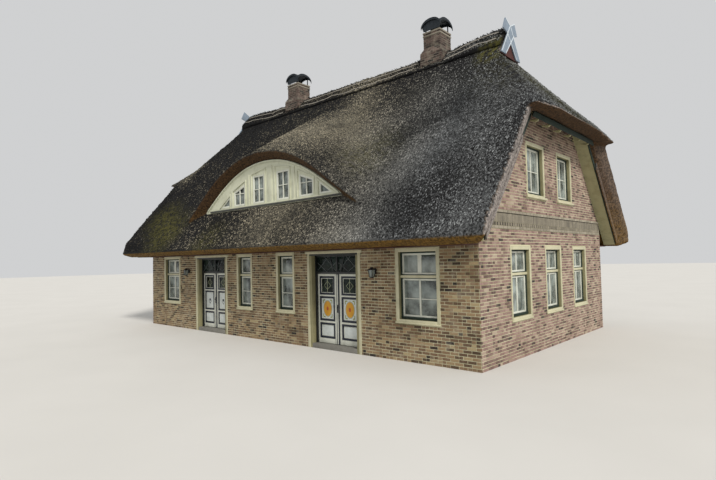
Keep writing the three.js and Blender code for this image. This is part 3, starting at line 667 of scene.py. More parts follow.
# Door surrounds: cream boards with a wider lintel that stands 22 mm out, and khaki reveals.
# The dark frame behind them carries a light over the leaves, with slanting bars and lead cames.
FACE_Y = -short_half
LEAF_Y = -4.05
LEAF_BACK = -4.0
REVEAL_BACK = -3.89
REBATE_Y = LEAF_Y - 0.06
STOP_Y = LEAF_Y - 0.006
JAMB = 0.8197
leaf_blue = worn_surface("dark_blue_gloss_paint", "#0e172a", "#090e19", 0.36)
stone = worn_surface("worn_blue_limestone", "#77756e", "#57564f", 0.6, 0)
frame_black = worn_surface("near_black_gloss_paint", "#15191a", "#0c0e0d", 0.28)
lead = worn_surface("grey_lead_came", "#5a5f60", "#3b3f40", 0.45)
shaded_glass = drawn_glass("shaded_door_glass", "#0b1011", "#2c3833", 0.9, 0.15)
for side, x in doors:
    CREAM, KHAKI, STONE, BLACK = range(4)
    piece = start_piece(side + "_door_surround_boards", cream, khaki, stone, frame_black)
    for sign in (-1, 1):
        bar(CREAM, *sorted((x + sign * 1.04, x + sign * 0.945)), FACE_Y - 0.01, FACE_Y + 0.014, 0, 2.675)
        bar(KHAKI, *sorted((x + sign * 1.04, x + sign * 0.86)), FACE_Y + 0.004, REVEAL_BACK, 0.0, 2.63)
    mid_bar(CREAM, x, 1.095, FACE_Y - 0.022, FACE_Y + 0.05, 2.675, 2.75)
    # A near-black strip under the lintel: painted shadow of the gap beneath it
    mid_bar(BLACK, x, 0.945, FACE_Y - 0.004, FACE_Y + 0.05, 2.63, 2.675)
    mid_bar(KHAKI, x, 1.09, FACE_Y + 0.05, REVEAL_BACK, 2.632, 2.748)
    mid_bar(STONE, x, 0.86, FACE_Y - 0.005, REVEAL_BACK, 0.0, 0.129)
    own(end_piece(piece, 0.003), "house", "cream_paint", side + "_door_surround")

    BLACK, PANE, LEAD = range(3)
    piece = start_piece(side + "_door_frame_timbers", frame_black, shaded_glass, lead)
    for a, b in ((x - 0.8597, x - JAMB), (x + JAMB, x + 0.8597)):
        bar(BLACK, a, b, REBATE_Y, LEAF_BACK, 0.1303, 2.6297)
    for a, b in ((x - JAMB, x - 0.8037), (x + 0.8037, x + JAMB)):
        bar(BLACK, a, b, REBATE_Y, STOP_Y, 0.1303, 2.11)
    mid_bar(BLACK, x, JAMB, REBATE_Y, LEAF_BACK, 2.12, 2.17)
    mid_bar(BLACK, x, JAMB, REBATE_Y, STOP_Y, 2.104, 2.122)
    mid_bar(BLACK, x, JAMB, REBATE_Y, LEAF_BACK, 2.5897, 2.6297)
    mid_bar(BLACK, x, 0.03, LEAF_Y - 0.04, -4.01, 2.168, 2.592)
    for sign in (-1, 1):
        slanted(BLACK, (x + sign * 0.14, 2.168), (x + sign * 0.28, 2.592), 0.034, LEAF_Y - 0.03, STOP_Y)
    for low, high in ((x - JAMB, x - 0.03), (x + 0.03, x + JAMB)):
        bar(PANE, low - 0.005, high + 0.005, LEAF_Y - 0.008, LEAF_Y, 2.165, 2.595)
        middle = (low + high) / 2
        for start, end in (((low, 2.17), (middle + 0.08, 2.59)), ((middle - 0.08, 2.59), (high, 2.17)),
                           ((low + 0.02, 2.42), (middle, 2.17)), ((middle, 2.17), (high - 0.02, 2.42))):
            slanted(LEAD, start, end, 0.014, LEAF_Y - 0.016, LEAF_Y - 0.007)
    own(end_piece(piece, 0.002), "house", "frame_paint", side + "_door_frame")

# Door leaves: white stiles and rails round dark-blue mouldings, a leaded light over two panels.
# The middle panels have a painted oval with corner leaves, carved a few millimetres proud.
panel_white = worn_surface("pale_grey_gloss_paint", "#d0d6d3", "#a5ada8", 0.3)
ochre = worn_surface("ochre_gloss_paint", "#d5991c", "#b07d18", 0.3)
orange = worn_surface("orange_gloss_paint", "#b8501c", "#8a3a14", 0.3)
moss_green = worn_surface("leaf_green_gloss_paint", "#8a9148", "#666b33", 0.35)
sage = worn_surface("sage_gloss_paint", "#9da283", "#7a7f62", 0.35)
blackened_iron = worn_surface("blackened_iron", "#17191b", "#26221f", 0.35)
STILE = 0.1
SUNK = LEAF_Y + 0.015
leaf_foot = 0.14
leaf_head = 2.114


def add_oval(slot_index, x, z, half_x, half_z, y_back, y_front):
    bpy.ops.mesh.primitive_cylinder_add(vertices=40, radius=1, depth=1, location=(0, 0, 0))

    def place(corner):
        near = corner.z > 0
        shrink = 0.9 if near else 1
        return x + corner.x * half_x * shrink, y_front if near else y_back, z + corner.y * half_z * shrink

    shape_new(slot_index, place)


def door_leaf(side, x, hand):
    WHITE, BLUE, PANEL, OCHRE, ORANGE, LEAF, PANE, IRON, SAGE = range(9)
    hand_name = "left" if hand < 0 else "right"
    jamb = 0.8137
    meeting = -0.05 + hand * 0.006
    x0, x1 = (x - jamb, x + meeting) if hand < 0 else (x + meeting, x + jamb)
    left = x0 + (STILE if hand < 0 else STILE + 0.1)
    right = x1 - STILE
    middle = (left + right) / 2
    carved = (SUNK - 0.005, SUNK + 0.001)
    leaded = (SUNK, SUNK + 0.008)
    piece = start_piece(f"{side}_door_leaf_{hand_name}_joinery", white, leaf_blue, panel_white, ochre, orange,
                        moss_green, shaded_glass, blackened_iron, sage)
    bar(WHITE, x0, left, LEAF_Y, LEAF_BACK, leaf_foot, leaf_head)
    bar(WHITE, right, x1, LEAF_Y, LEAF_BACK, leaf_foot, leaf_head)
    rails = ((leaf_foot, leaf_foot + 0.16), (0.69, 0.79), (1.44, 1.53), (leaf_head - STILE, leaf_head))
    for a, b in rails:
        bar(WHITE, left, right, LEAF_Y, LEAF_BACK, a, b)
    fields = [(below[1], over[0]) for below, over in zip(rails, rails[1:])]
    for i, (a, b) in enumerate(fields):
        height = (a + b) / 2
        ring(BLUE, left - 0.024, right + 0.024, LEAF_Y - 0.004, SUNK + 0.02, a - 0.024, b + 0.024, 0.056)
        if i == 2:
            ring(WHITE, left + 0.032, right - 0.032, LEAF_Y + 0.008, SUNK + 0.012,
                 a + 0.032, b - 0.032, 0.016)
            bar(PANE, left + 0.03, right - 0.03, SUNK + 0.006, SUNK + 0.012, a + 0.03, b - 0.03)
            slanted(SAGE, (middle, a + 0.04), (middle, b - 0.04), 0.014, *leaded)
            for sx, sz in ((-1, 1), (-1, -1), (1, 1), (1, -1)):
                slanted(SAGE, (middle, height + sz * 0.12), (middle + sx * 0.13, height), 0.01, *leaded)
            continue
        bar(PANEL, left + 0.02, right - 0.02, SUNK, LEAF_BACK - 0.015, a + 0.02, b - 0.02)
        ring(WHITE, left + 0.04, right - 0.04, SUNK - 0.006, SUNK + 0.001, a + 0.04, b - 0.04, 0.012)
        if i == 1 and side == "right":
            for slot_index, half_x, half_z, back, front in ((SAGE, 0.178, 0.24, -0.001, 0.004),
                                                            (OCHRE, 0.155, 0.215, 0.003, 0.008),
                                                            (ORANGE, 0.042, 0.06, 0.007, 0.011)):
                add_oval(slot_index, middle, height, half_x, half_z, SUNK - back, SUNK - front)
            for sx, sz in ((-1, -1), (-1, 1), (1, -1), (1, 1)):
                cx, cz = middle + sx * 0.17, height + sz * 0.238
                slanted(LEAF, (cx, cz), (cx - sx * 0.07, cz), 0.03, *carved)
                slanted(LEAF, (cx, cz), (cx, cz - sz * 0.09), 0.026, *carved)
        elif i == 1:
            add_oval(BLUE, middle, height + 0.02, 0.035, 0.05, SUNK + 0.001, SUNK - 0.005)
            for sx in (-1, 1):
                bend = (middle + sx * 0.07, height - 0.03)
                slanted(BLUE, (middle, height - 0.12), bend, 0.014, *carved)
                slanted(BLUE, bend, (middle + sx * 0.045, height + 0.05), 0.012, *carved)
    if hand > 0:
        bar(BLUE, x0, x0 + 0.1, LEAF_Y - 0.021, LEAF_Y + 0.005, leaf_foot, leaf_head - 0.016)
        bar(WHITE, x0 + 0.024, x0 + 0.062, LEAF_Y - 0.026, LEAF_Y - 0.015, leaf_foot + 0.01, leaf_head - 0.03)
        bar(IRON, x0 + 0.026, x0 + 0.06, LEAF_Y - 0.03, LEAF_Y - 0.02, 1.02, 1.24)
        add_oval(IRON, x0 + 0.043, 1.16, 0.02, 0.02, LEAF_Y - 0.028, LEAF_Y - 0.055)
    hinge_x = x0 if hand < 0 else x1
    for z in (0.45, 1.1, 1.75):
        bpy.ops.mesh.primitive_cylinder_add(vertices=12, radius=0.0056, depth=0.11,
                                            location=(hinge_x, LEAF_BACK, z))
    own(end_piece(piece, 0.002), f"{side}_door_{hand_name}_leaf", "leaf_paint",
        f"{side}_door_leaf_{hand_name}")


for side, x in doors:
    for hand in (-1, 1):
        door_leaf(side, x, hand)


# Soffits: planed boards laid from the wall to the edge board, painted cream, with dark green
# edge boards; the scrolled ends of short rafter tails show under the edge board of each hip.
UNDERSIDE = 0.561
soffit_cream = worn_surface("cream_soffit_paint", "#a19d78", "#74704c", 0.45, 0)


def soffit_boards(name, sign):
    corners, tones = [], []
    pitch_y = 0.12 / math.hypot(1, SLOPE)
    for side_y in (-1, 1):
        y = 4.73
        while y > 1.9:
            y1 = y - pitch_y + 0.004
            za, zb = slope_z(y, 0.7), slope_z(y1, 0.7)
            if zb < 6.4:
                corners.append([(sign * x, side_y * p[0], p[1] - drop) for x in (7.601, 7.965)
                                for drop in (0.025, 0.0) for p in ((y, za), (y1, zb))])
                tones.append(draw.random())
            y -= pitch_y
    piece = blocks_piece(name, corners, tones)
    edit(piece)
    turn_outwards()
    set_material(piece, soffit_cream)
    own(piece, "house", "cream_paint")


def hip_under(x):
    return 6.0 + (8.12 - x) * 1.1932


for side, sign in house_ends:
    soffit_boards(side + "_verge_boards", sign)
    GREEN, CREAM = range(2)
    piece = start_piece(side + "_edge_boards", dark_green, soffit_cream)
    for side_y in (-1, 1):
        timber(GREEN, lambda u, v, w: (sign * (7.965, 7.99)[u], side_y * (4.7, 2.0)[v],
                                       slope_z((4.7, 2.0)[v], (0.745, UNDERSIDE)[w])))
    for slot_index, a, b, upper, lower in ((GREEN, 8.085, 8.11, 0.001, 0.155),
                                           (CREAM, 7.601, 8.085, 0.1, 0.125)):
        def place(u, v, w):
            z = hip_under((a, b)[u]) - (lower, upper)[w]
            return sign * (a, b)[u], (-1, 1)[v] * slope_y(z, UNDERSIDE), z

        timber(slot_index, place)
    foot = hip_under(8.1) - 0.15
    scroll = [(7.86, 0.0), (7.93, 0.02), (7.98, 0.042), (8.03, 0.045), (8.065, 0.026), (8.084, 0.0)]
    for y in (-1.9, -1.14, -0.38, 0.38, 1.14, 1.9):
        for (a, low_a), (b, low_b) in zip(scroll, scroll[1:]):
            timber(CREAM, lambda u, v, w: (
                sign * (a, b)[u], y + (-0.03, 0.03)[v], foot + (-(low_a, low_b)[u], 0.02)[w]))
    own(end_piece(piece, 0.003), "house", "cream_paint", side + "_gable_soffit")


# Water reed: a coat of bundled reed 0.35 m thick, dressed to a smooth slope, with butts showing
# as a fine speckle; the eaves, verges and the brow over the dormer are cut square.
def weathered_reed():
    # Reed weathers to grey: pale dry butts over near-black gaps, where the black is painted shade between the
    # butts, with moss where it stays damp. The grey turns bluish towards the right end as painted shade.
    # The cut ends stay brown: golden under the eaves, where the gold is partly painted sunlight, and redder
    # higher up.
    material, at = new_material("weathered_water_reed")
    where = add_node(at, "SeparateXYZ", {}, {"Vector": at})
    fine = clouds(at, 19, 4, 0.8)
    damp = ramp(clouds(at, 0.55, 6, 0.6), 0.42, 0.66, 0, 0.8)
    # Near-black between the butts: painted shade in the gaps
    dry = ramp(calculate("ADD", fine, attribute(at, "bleach")), 0.66, 1.12)
    # Bluish grey towards the right end: painted shade
    pale = blend(ramp(where.outputs["X"], 2, 6), "#a69e89", "#959899")
    aged = blend(damp, blend(dry, "#0e0e0f", pale), "#85878a", "MULTIPLY")
    green = blend(attribute(at, "moss"), aged, "#5f5c28")
    mottled = ramp(clouds(at, 17, 5, 0.7), 0.34, 0.72)
    # Gold under the eaves: brown cut ends with painted sunlight
    gold_with_painted_sun = blend(mottled, "#241807", "#8c6a2e")
    russet = blend(mottled, "#110d09", "#5c4330")
    ash = blend(mottled, "#454040", "#b3aaa3")
    straw = blend(ramp(where.outputs["Z"], 3, 4.6, 0, 0.85), gold_with_painted_sun, russet)
    ends = blend(attribute(at, "verge"), straw, ash)
    colour = blend(attribute(at, "cut"), green, ends)
    straws = add_node(at, "TexVoronoi", {"Scale": 60}, {"Vector": at})
    height = calculate("ADD", straws.outputs["Distance"], fine)
    return end_material(material, colour, {"Roughness": 0.92, "Specular IOR Level": 0.25}, height,
                        (0.7, 0.012))


reed = weathered_reed()


def merged_copy(name, *nodes):
    # The CAD solids as one mesh with shared corners
    mesh = bpy.data.meshes.new(name)
    work = bmesh.new()
    for node in nodes:
        work.from_mesh(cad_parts[node].data)
    bmesh.ops.remove_doubles(work, verts=work.verts, dist=0.00002)
    work.to_mesh(mesh)
    work.free()
    piece = add_object(name, mesh)
    make_active(piece)
    return piece


def vectors(collection, key):
    values = np.zeros(len(collection) * 3)
    collection.foreach_get(key, values)
    return values.reshape(-1, 3)


def points_and_normals(piece):
    return vectors(piece.data.vertices, "co"), vectors(piece.data.vertex_normals, "vector")


def lumps(points, size, seed):
    offset = Vector((seed * 7.3, seed * 3.1, seed * 5.7))
    return np.array([noise.noise(Vector(p) / size + offset) for p in points])


def ease(values, low, high):
    share = np.clip((values - low) / (high - low), 0, 1)
    return share * share * (3 - 2 * share)


def moss_at(points):
    # Damp corners: the low front left slope, and the ridge end and the hip over the near gable
    spots = (((-5.6, -4.6, 3.6), 1.7, 0.6), ((-6.9, -4.0, 4.2), 1.5, 0.45), ((6.2, -0.7, 8.6), 0.7, 0.9),
             ((-2.2, -5.0, 3.2), 1.2, 0.35), ((3.5, -3.0, 5.6), 1.6, 0.25), ((7.6, 0.2, 7.2), 3.0, 0.3))
    total = np.zeros(len(points))
    for centre, size, strength in spots:
        distance = np.linalg.norm(points - np.array(centre), axis=1)
        total += strength * ease(-distance, -size, 0)
    return total


def weathering_and_painted_light(points):
    # The front slope carries painted light: a pool of painted sunlight right of the dormer, and painted shade
    # at its left end, where it is damp as well; it also darkens towards the ridge. The back slope and the
    # left hip are evenly grey, without this painted light
    x, y, z = points.T
    # A pool of painted sunlight round the dormer, which grows again towards the right end
    painted_sunlight = np.exp(-((x - 1.5) / 3.6) ** 2) + 0.68 * ease(x, 2, 6)
    # Darker at the left end, partly painted shade and partly damp, and darker towards the ridge
    damp = 0.14 * ease(z, 6.5, 9) + 0.11 * ease(-x, 3, 6)
    front = 0.27 * painted_sunlight - 0.31 - damp
    hip = ease(-x, 7.0, 7.8) * ease(z, 5.4, 6.4)
    away = np.maximum(ease(y, -0.4, 1.5), hip)
    return front * (1 - away) - 0.02 * away + 0.14 * lumps(points, 2.2, 6)


def add_layers(mesh, **layers):
    for name, values in layers.items():
        mesh.attributes.new(name, "FLOAT", "POINT").data.foreach_set("value", values)


def paint_reed(piece, reed_ends=1, tone=0.3):
    points, normals = points_and_normals(piece)
    sideways = ease(np.abs(normals[:, 0]), 0.5, 0.7) * ease(-np.abs(normals[:, 2]), -0.5, -0.35)
    under = ease(-normals[:, 2], 0.0, 0.3)
    grain = lumps(points, 0.12, 3) * 0.5 + 0.5
    # The bleach layer holds the painted light and shade as well as the bleaching
    add_layers(piece.data, cut=np.maximum(under, sideways) * reed_ends,
               verge=sideways * (0.22 + 0.78 * ease(-points[:, 1], -0.2, 0.2)),
               moss=np.clip(moss_at(points) * ease(grain, 0.35, 0.65), 0, 0.85),
               bleach=tone + weathering_and_painted_light(points))
    set_material(piece, reed)
    smooth(50)


def dress_reed(piece, voxel, passes, swell):
    # One closed skin, combed smooth and then raised into soft lumps
    remesh = piece.modifiers.new("coat", "REMESH")
    remesh.mode = "VOXEL"
    remesh.voxel_size = voxel
    soft = piece.modifiers.new("soft", "SMOOTH")
    soft.factor = 0.5
    soft.iterations = passes
    for modifier in (remesh.name, soft.name):
        bpy.ops.object.modifier_apply(modifier=modifier)
    points, normals = points_and_normals(piece)
    rise = swell * (lumps(points, 1.4, 1) + 0.5 * lumps(points, 0.4, 2) + 0.3 * lumps(points, 0.13, 4))
    points += normals * rise[:, None]
    piece.data.vertices.foreach_set("co", points.reshape(-1))
    piece.data.update()


def thin_underside(piece, keep):
    # The coat's underside is hidden by the roof space, so its faces are few
    bpy.ops.object.mode_set(mode="EDIT")
    bpy.ops.mesh.select_all(action="DESELECT")
    bpy.ops.mesh.select_mode(type="FACE")
    bpy.ops.object.mode_set(mode="OBJECT")
    x, y, z = vectors(piece.data.polygons, "center").T
    down = vectors(piece.data.polygons, "normal")[:, 2] < -0.3
    brow = (y < -3.6) & (z > 4.0) & (np.abs(x) < 4.4)
    piece.data.polygons.foreach_set("select", down & (np.abs(y) < 4.2) & (np.abs(x) < 7.5) & ~brow)
    bpy.ops.object.mode_set(mode="EDIT")
    bpy.ops.mesh.decimate(ratio=keep)
    bpy.ops.object.mode_set(mode="OBJECT")


def half_of(coat, name, side_y):
    piece = add_object(name, coat.data.copy())
    edit(piece)
    bpy.ops.mesh.select_all(action="SELECT")
    bpy.ops.mesh.bisect(plane_co=(0, 0, 0), plane_no=(0, side_y, 0), use_fill=True, clear_inner=True)
    bpy.ops.object.mode_set(mode="OBJECT")
    return piece


def reed_tufts(name, ground, count, length, width, height, seed):
    # Butts of single bundles: slim closed wedges that lie down the slope with the thick end low
    rng = np.random.default_rng(seed)
    mesh = ground.data
    mesh.calc_loop_triangles()
    corner = np.zeros(len(mesh.loop_triangles) * 3, int)
    mesh.loop_triangles.foreach_get("vertices", corner)
    corner = corner.reshape(-1, 3)
    points, normals = points_and_normals(ground)
    a, b, c = (points[corner[:, k]] for k in range(3))
    area = np.linalg.norm(np.cross(b - a, c - a), axis=1)
    weight = area * (normals[corner[:, 0]][:, 2] > 0.3)
    chosen = rng.choice(len(corner), count, p=weight / weight.sum())
    s, t = rng.random(count), rng.random(count)
    flip = s + t > 1
    s[flip], t[flip] = 1 - s[flip], 1 - t[flip]
    foot = a[chosen] + s[:, None] * (b - a)[chosen] + t[:, None] * (c - a)[chosen]
    normal = normals[corner[chosen, 0]]
    down = np.array([0, 0, -1.0]) - normal * (-normal[:, 2])[:, None]
    down /= np.linalg.norm(down, axis=1)[:, None] + 1e-9
    lateral = np.cross(normal, down)
    angle = rng.normal(0, 0.4, count)
    down = down * np.cos(angle)[:, None] + lateral * np.sin(angle)[:, None]
    lateral = np.cross(normal, down)
    lengths = length * rng.uniform(0.6, 1.4, count)[:, None]
    widths = width * rng.uniform(0.6, 1.4, count)[:, None]
    heights = height * rng.uniform(0.4, 1.5, count)[:, None]
    sink = normal * 0.006
    tip = foot - down * lengths - sink
    left = foot - lateral * widths / 2 - sink
    right = foot + lateral * widths / 2 - sink
    top = foot + normal * heights - down * 0.01
    vertices = np.stack([tip, left, right, top], axis=1)
    faces = np.array([(0, 1, 3), (0, 3, 2), (1, 2, 3), (0, 2, 1)])
    faces = (faces[None] + 4 * np.arange(count)[:, None, None]).reshape(-1, 3)
    tufts = bpy.data.meshes.new(name)
    tufts.from_pydata(vertices.reshape(-1, 3).tolist(), [], faces.tolist())
    bleach = np.minimum(rng.normal(0.45, 0.2, count), 0.75) + weathering_and_painted_light(foot)
    moss = np.clip(moss_at(foot) * rng.uniform(0, 1.3, count), 0, 0.9)
    nothing = np.zeros(4 * count)
    add_layers(tufts, bleach=np.repeat(bleach, 4), moss=np.repeat(moss, 4), cut=nothing, verge=nothing)
    piece = add_object(name, tufts)
    set_material(piece, reed)
    own(piece, "house", "thatch")


coat = merged_copy("thatch_coat", "thatch_front", "thatch_back", "right_hip_thatch", "left_hip_thatch")
dress_reed(coat, 0.055, 5, 0.016)
thin_underside(coat, 0.06)
for name, side_y, tufts, replaced in (
        ("front_thatch", -1, 44000, ("thatch_front", "right_hip_thatch", "left_hip_thatch")),
        ("back_thatch", 1, 18000, ("thatch_back",))):
    piece = half_of(coat, name + "_coat", side_y)
    paint_reed(piece)
    own(piece, "house", "thatch", *replaced)
    reed_tufts(name + "_reed", piece, tufts, 0.075, 0.038, 0.015, 5 + side_y)
bpy.data.objects.remove(coat)

# Verge reed: a strip of cut ends that hangs over the edge board of each verge, so that only the
# board's lower edge shows from outside. On the front it is bleached to ash.
for side, sign in house_ends:
    for name, side_y in (("front", -1), ("back", 1)):
        piece = start_piece(f"{side}_{name}_verge_reed", reed)
        timber(0, lambda u, v, w: (sign * (7.992, (8.035, 8.07)[w])[u], side_y * (4.72, 2.75)[v],
                                   slope_z((4.72, 2.75)[v], (0.757, 0.5)[w])))
        bpy.ops.mesh.subdivide(number_cuts=5)
        end_piece(piece, 0)
        dress_reed(piece, 0.03, 2, 0.012)
        paint_reed(piece)
        own(piece, "house", "thatch")

# Ridge: a saddle of loose reed and heather laid over both slopes and cut ragged along its edge,
# darker than the roof below it; it sweeps up at both ends.
ridge = merged_copy("ridge_saddle", "ridge_cap")
dress_reed(ridge, 0.04, 3, 0.03)
paint_reed(ridge, 0, 0.28)
own(ridge, "house", "ridge_thatch", "ridge_cap")
reed_tufts("ridge_reed", ridge, 12000, 0.1, 0.045, 0.018, 9)

# Ridge withies: split hazel rods laid end to end along both sides of the saddle to hold it down.
# They have weathered to silver grey and stop on each side of the chimneys.
withy = worn_surface("weathered_hazel", "#a39d93", "#5d5850", 0.85, 0)
rod = 0.012
chimney_places = (("left", -2.99), ("right", 4.0))
corners = []
bpy.context.view_layer.update()
for side_y in (-1, 1):
    for out in (0.2, 0.4):
        line = []
        for x in np.arange(-6.3, 6.31, 0.3):
            y = side_y * (out + draw.normal(0, 0.012))
            found, spot, normal, face = ridge.ray_cast(Vector((x, y, 10.5)), Vector((0, 0, -1)))
            line.append(spot + normal * rod if found else None)
        for a, b in zip(line, line[1:]):
            if a is None or b is None or min(abs((a.x + b.x) / 2 - cx) for _, cx in chimney_places) < 0.56:
                continue
            corners.append([(p.x, p.y + dy, p.z + dz)
                            for p in (a, b) for dy in (-rod, rod) for dz in (-rod, rod)])
piece = blocks_piece("ridge_withies", corners, [0] * len(corners))
set_material(piece, withy)
own(piece, "house", "ridge_thatch")

# Dormer front: painted boards with raised frames round six lights, pilasters between them,
# a bent moulding under the brow and a lead-grey sill at the foot.
PANEL_Y = -4.12
PANEL_BACK = PANEL_Y + 0.01
SILL_Z = 4.345
LIGHTS_X = 0.22
lead_grey = worn_surface("rolled_lead_flashing", "#43443f", "#2e2f2b", 0.55)
dormer_cream = worn_surface("pale_cream_paint", "#c7c9b2", "#a3a48a", 0.42)
set_material(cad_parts["dormer_front"], dormer_cream)
set_material(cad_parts["dormer_glazing"], glass)
CREAM, WHITE, LEAD = range(3)
piece = start_piece("dormer_joinery", dormer_cream, white, lead_grey)


def bezier(points, t):
    weights = ((1 - t) ** 3, 3 * t * (1 - t) ** 2, 3 * t * t * (1 - t), t ** 3)
    return [sum(w * p[k] for w, p in zip(weights, points)) for k in (0, 1)]


def strip_bars(slot_index, pairs, y0, y1):
    # A bar between each pair of points (x, z) and the next pair
    for a, b in zip(pairs, pairs[1:]):
        timber(slot_index, lambda u, v, w: ((a, b)[u][w].x, (y0, y1)[v], (a, b)[u][w].y))


def outline_frame(sign, outline, slot_index, width, y0, y1):
    # Bars outside a convex outline of points (x, z), or inside it where the width is below 0
    points = [(LIGHTS_X + sign * x, z) for x, z in outline]
    centre = Vector((sum(p[0] for p in points) / len(points), sum(p[1] for p in points) / len(points)))
    count = len(points)
    corners = []
    for i in range(count):
        before, here, after = (Vector(points[(i + k) % count]) for k in (-1, 0, 1))
        edges = []
        for a, b in ((before, here), (here, after)):
            d = (b - a).normalized()
            n = Vector((d.y, -d.x))
            edges.append(-n if n.dot(a - centre) < 0 else n)
        middle = (edges[0] + edges[1]).normalized()
        corners.append((here, here + middle * (width / max(0.3, middle.dot(edges[0])))))
    strip_bars(slot_index, corners + corners[:1], y0, y1)


tall = [(0.32, 4.42), (0.92, 4.42), (0.92, 5.33), (0.32, 5.33)]
sloped = [(1.39, 4.42), (2.01, 4.42), (2.01, 4.9), (1.39, 5.11)]
cornered = [(2.27, 4.42), (2.84, 4.42), (2.27, 4.8)]
tall_casing = [(0.27, 4.385), (0.97, 4.385), (0.97, 5.38), (0.27, 5.5)]
sloped_casing = [(1.34, 4.385), (2.06, 4.385), (2.06, 4.93), (1.34, 5.22)]
cornered_casing = [(2.24, 4.385), (2.9, 4.385), (2.24, 4.81)]
for sign in (-1, 1):
    for shape, casing in ((tall, tall_casing), (sloped, sloped_casing), (cornered, cornered_casing)):
        outline_frame(sign, casing, CREAM, 0.032, PANEL_Y - 0.03, PANEL_BACK)
        outline_frame(sign, shape, WHITE, -0.05, PANEL_Y + 0.004, PANEL_Y + 0.05)
    for near, far, high, cross in ((0.32, 0.92, 5.31, 4.875), (1.39, 2.01, 4.99, 4.83)):
        x0, x1 = sorted((LIGHTS_X + sign * near, LIGHTS_X + sign * far))
        mid_bar(WHITE, (x0 + x1) / 2, 0.017, PANEL_Y + 0.015, PANEL_Y + 0.05, 4.44, high)
        bar(WHITE, x0 + 0.03, x1 - 0.03, PANEL_Y + 0.018, PANEL_Y + 0.05, cross - 0.013, cross + 0.013)
    for x, top in ((1.155, 5.42), (2.145, 4.98)):
        mid_bar(CREAM, LIGHTS_X + sign * x, 0.045, PANEL_Y - 0.018, PANEL_BACK, 4.36, top)
mid_bar(CREAM, LIGHTS_X, 0.11, PANEL_Y - 0.018, PANEL_BACK, 4.36, 5.58)
bar(CREAM, -2.9, 3.3, PANEL_Y - 0.035, PANEL_BACK, SILL_Z, 4.385)
bar(LEAD, -3.25, 3.45, PANEL_Y - 0.05, PANEL_BACK, 4.29, SILL_Z)

# The brow's edge is the curve of the solids: x and height shares along one side, from foot to crown
foot_z = slope_z(4.12, 0)
arc = [bezier(((1, 0), (0.755, 0.36), (0.47, 1), (0, 1)), i / 24) for i in range(2, 25)]
arc += [(-x, z) for x, z in reversed(arc[:-1])]
rim = [Vector((-0.09 + x * 3.596, foot_z + z * (5.766 - foot_z))) for x, z in arc]
for depth, width, out in ((0.012, 0.05, 0.03), (0.075, 0.022, 0.016)):
    inner = []
    for i, at in enumerate(rim):
        d = (rim[min(i + 1, len(rim) - 1)] - rim[max(i - 1, 0)]).normalized()
        n = Vector((d.y, -d.x))
        if n.y > 0:
            n = -n
        inner.append((at + n * depth, at + n * (depth + width)))
    strip_bars(CREAM, inner, PANEL_Y - out, PANEL_BACK)
own(end_piece(piece, 0.002), "house", "cream_paint")

# Ridge ends: a red-brown boarded triangle with the owl hole, behind two crossed boards whose
# tips are sawn to plain animal heads; softwood, once painted pale blue-grey and now weathered.
red_brown = worn_surface("red_brown_board_paint", "#48211a", "#27130e", 0.6)
weathered_blue = worn_surface("weathered_blue_grey_paint", "#7e8b99", "#5b646a", 0.6)
pale_trim = worn_surface("pale_blue_trim_paint", "#c3ccd3", "#949da3", 0.55)
BOARD_FACE = 6.5698
for side, sign in house_ends:
    set_material(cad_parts[side + "_owl_hole_panel"], red_brown)
    piece = merged_copy(side + "_crossed_boards", side + "_crossed_gable_boards")
    round_edges(piece, 0.004)
    smooth(35)
    set_material(piece, weathered_blue)
    own(piece, "house", "gable_board_paint", side + "_crossed_gable_boards")
    piece = start_piece(side + "_board_trims", pale_trim)
    for side_y, thick in ((-1, 0.01), (1, 0.008)):
        for start, end in (((0.352, 8.462), (-0.225, 9.142)), ((0.605, 8.462), (0.03, 9.355)),
                           ((0.03, 9.355), (-0.288, 9.53))):
            direction = Vector((end[0] - start[0], end[1] - start[1])).normalized()
            across_board = Vector((-direction.y, direction.x)) * 0.016

            def place(u, v, w):
                spot = Vector((start, end)[u]) + across_board * (-1, 1)[w]
                return sign * (BOARD_FACE + (0, thick)[v]), side_y * spot.x, spot.y

            timber(0, place)
    own(end_piece(piece, 0.001), "house", "gable_board_paint")


# Chimneys: the same bricks round each stack, on a spread foot, with string courses under the top.
# Their hoods are folded from sheet metal, blackened by smoke, with a rolled rim on each arch.
def smoked_steel():
    # Galvanised steel gone dull charcoal with soot and rain streaks
    material, at = new_material("smoked_sheet_steel")
    streak = clouds(stretched(at, (14, 14, 3)), 1, 7)
    colour = blend(streak, "#14181c", "#434a50")
    shine = ramp(streak, 0, 1, 0.35, 0.7)
    return end_material(material, colour, {"Metallic": 0.7}, roughness=shine)


steel = smoked_steel()
STACK_TOP = 9.985
STACK_FOOT = 8.705
NECK_Z = 9.83
STRING_COURSE = (9.877, 9.934)
SPREAD = 0.09
SPREAD_TOP = 9.43
SPREAD_HEIGHT = 0.16


def hood_arch(half, share):
    # The hood's arch as in the solids: distance from the middle and height
    foot_height, crown_height = 0.19, 0.415
    haunch = (foot_height + crown_height * 2) / 3
    x, z = bezier(((half, foot_height), (half * 0.9, haunch), (half * 0.45, crown_height), (0, crown_height)),
                  1 - abs(share))
    return math.copysign(x, share), STACK_TOP + z


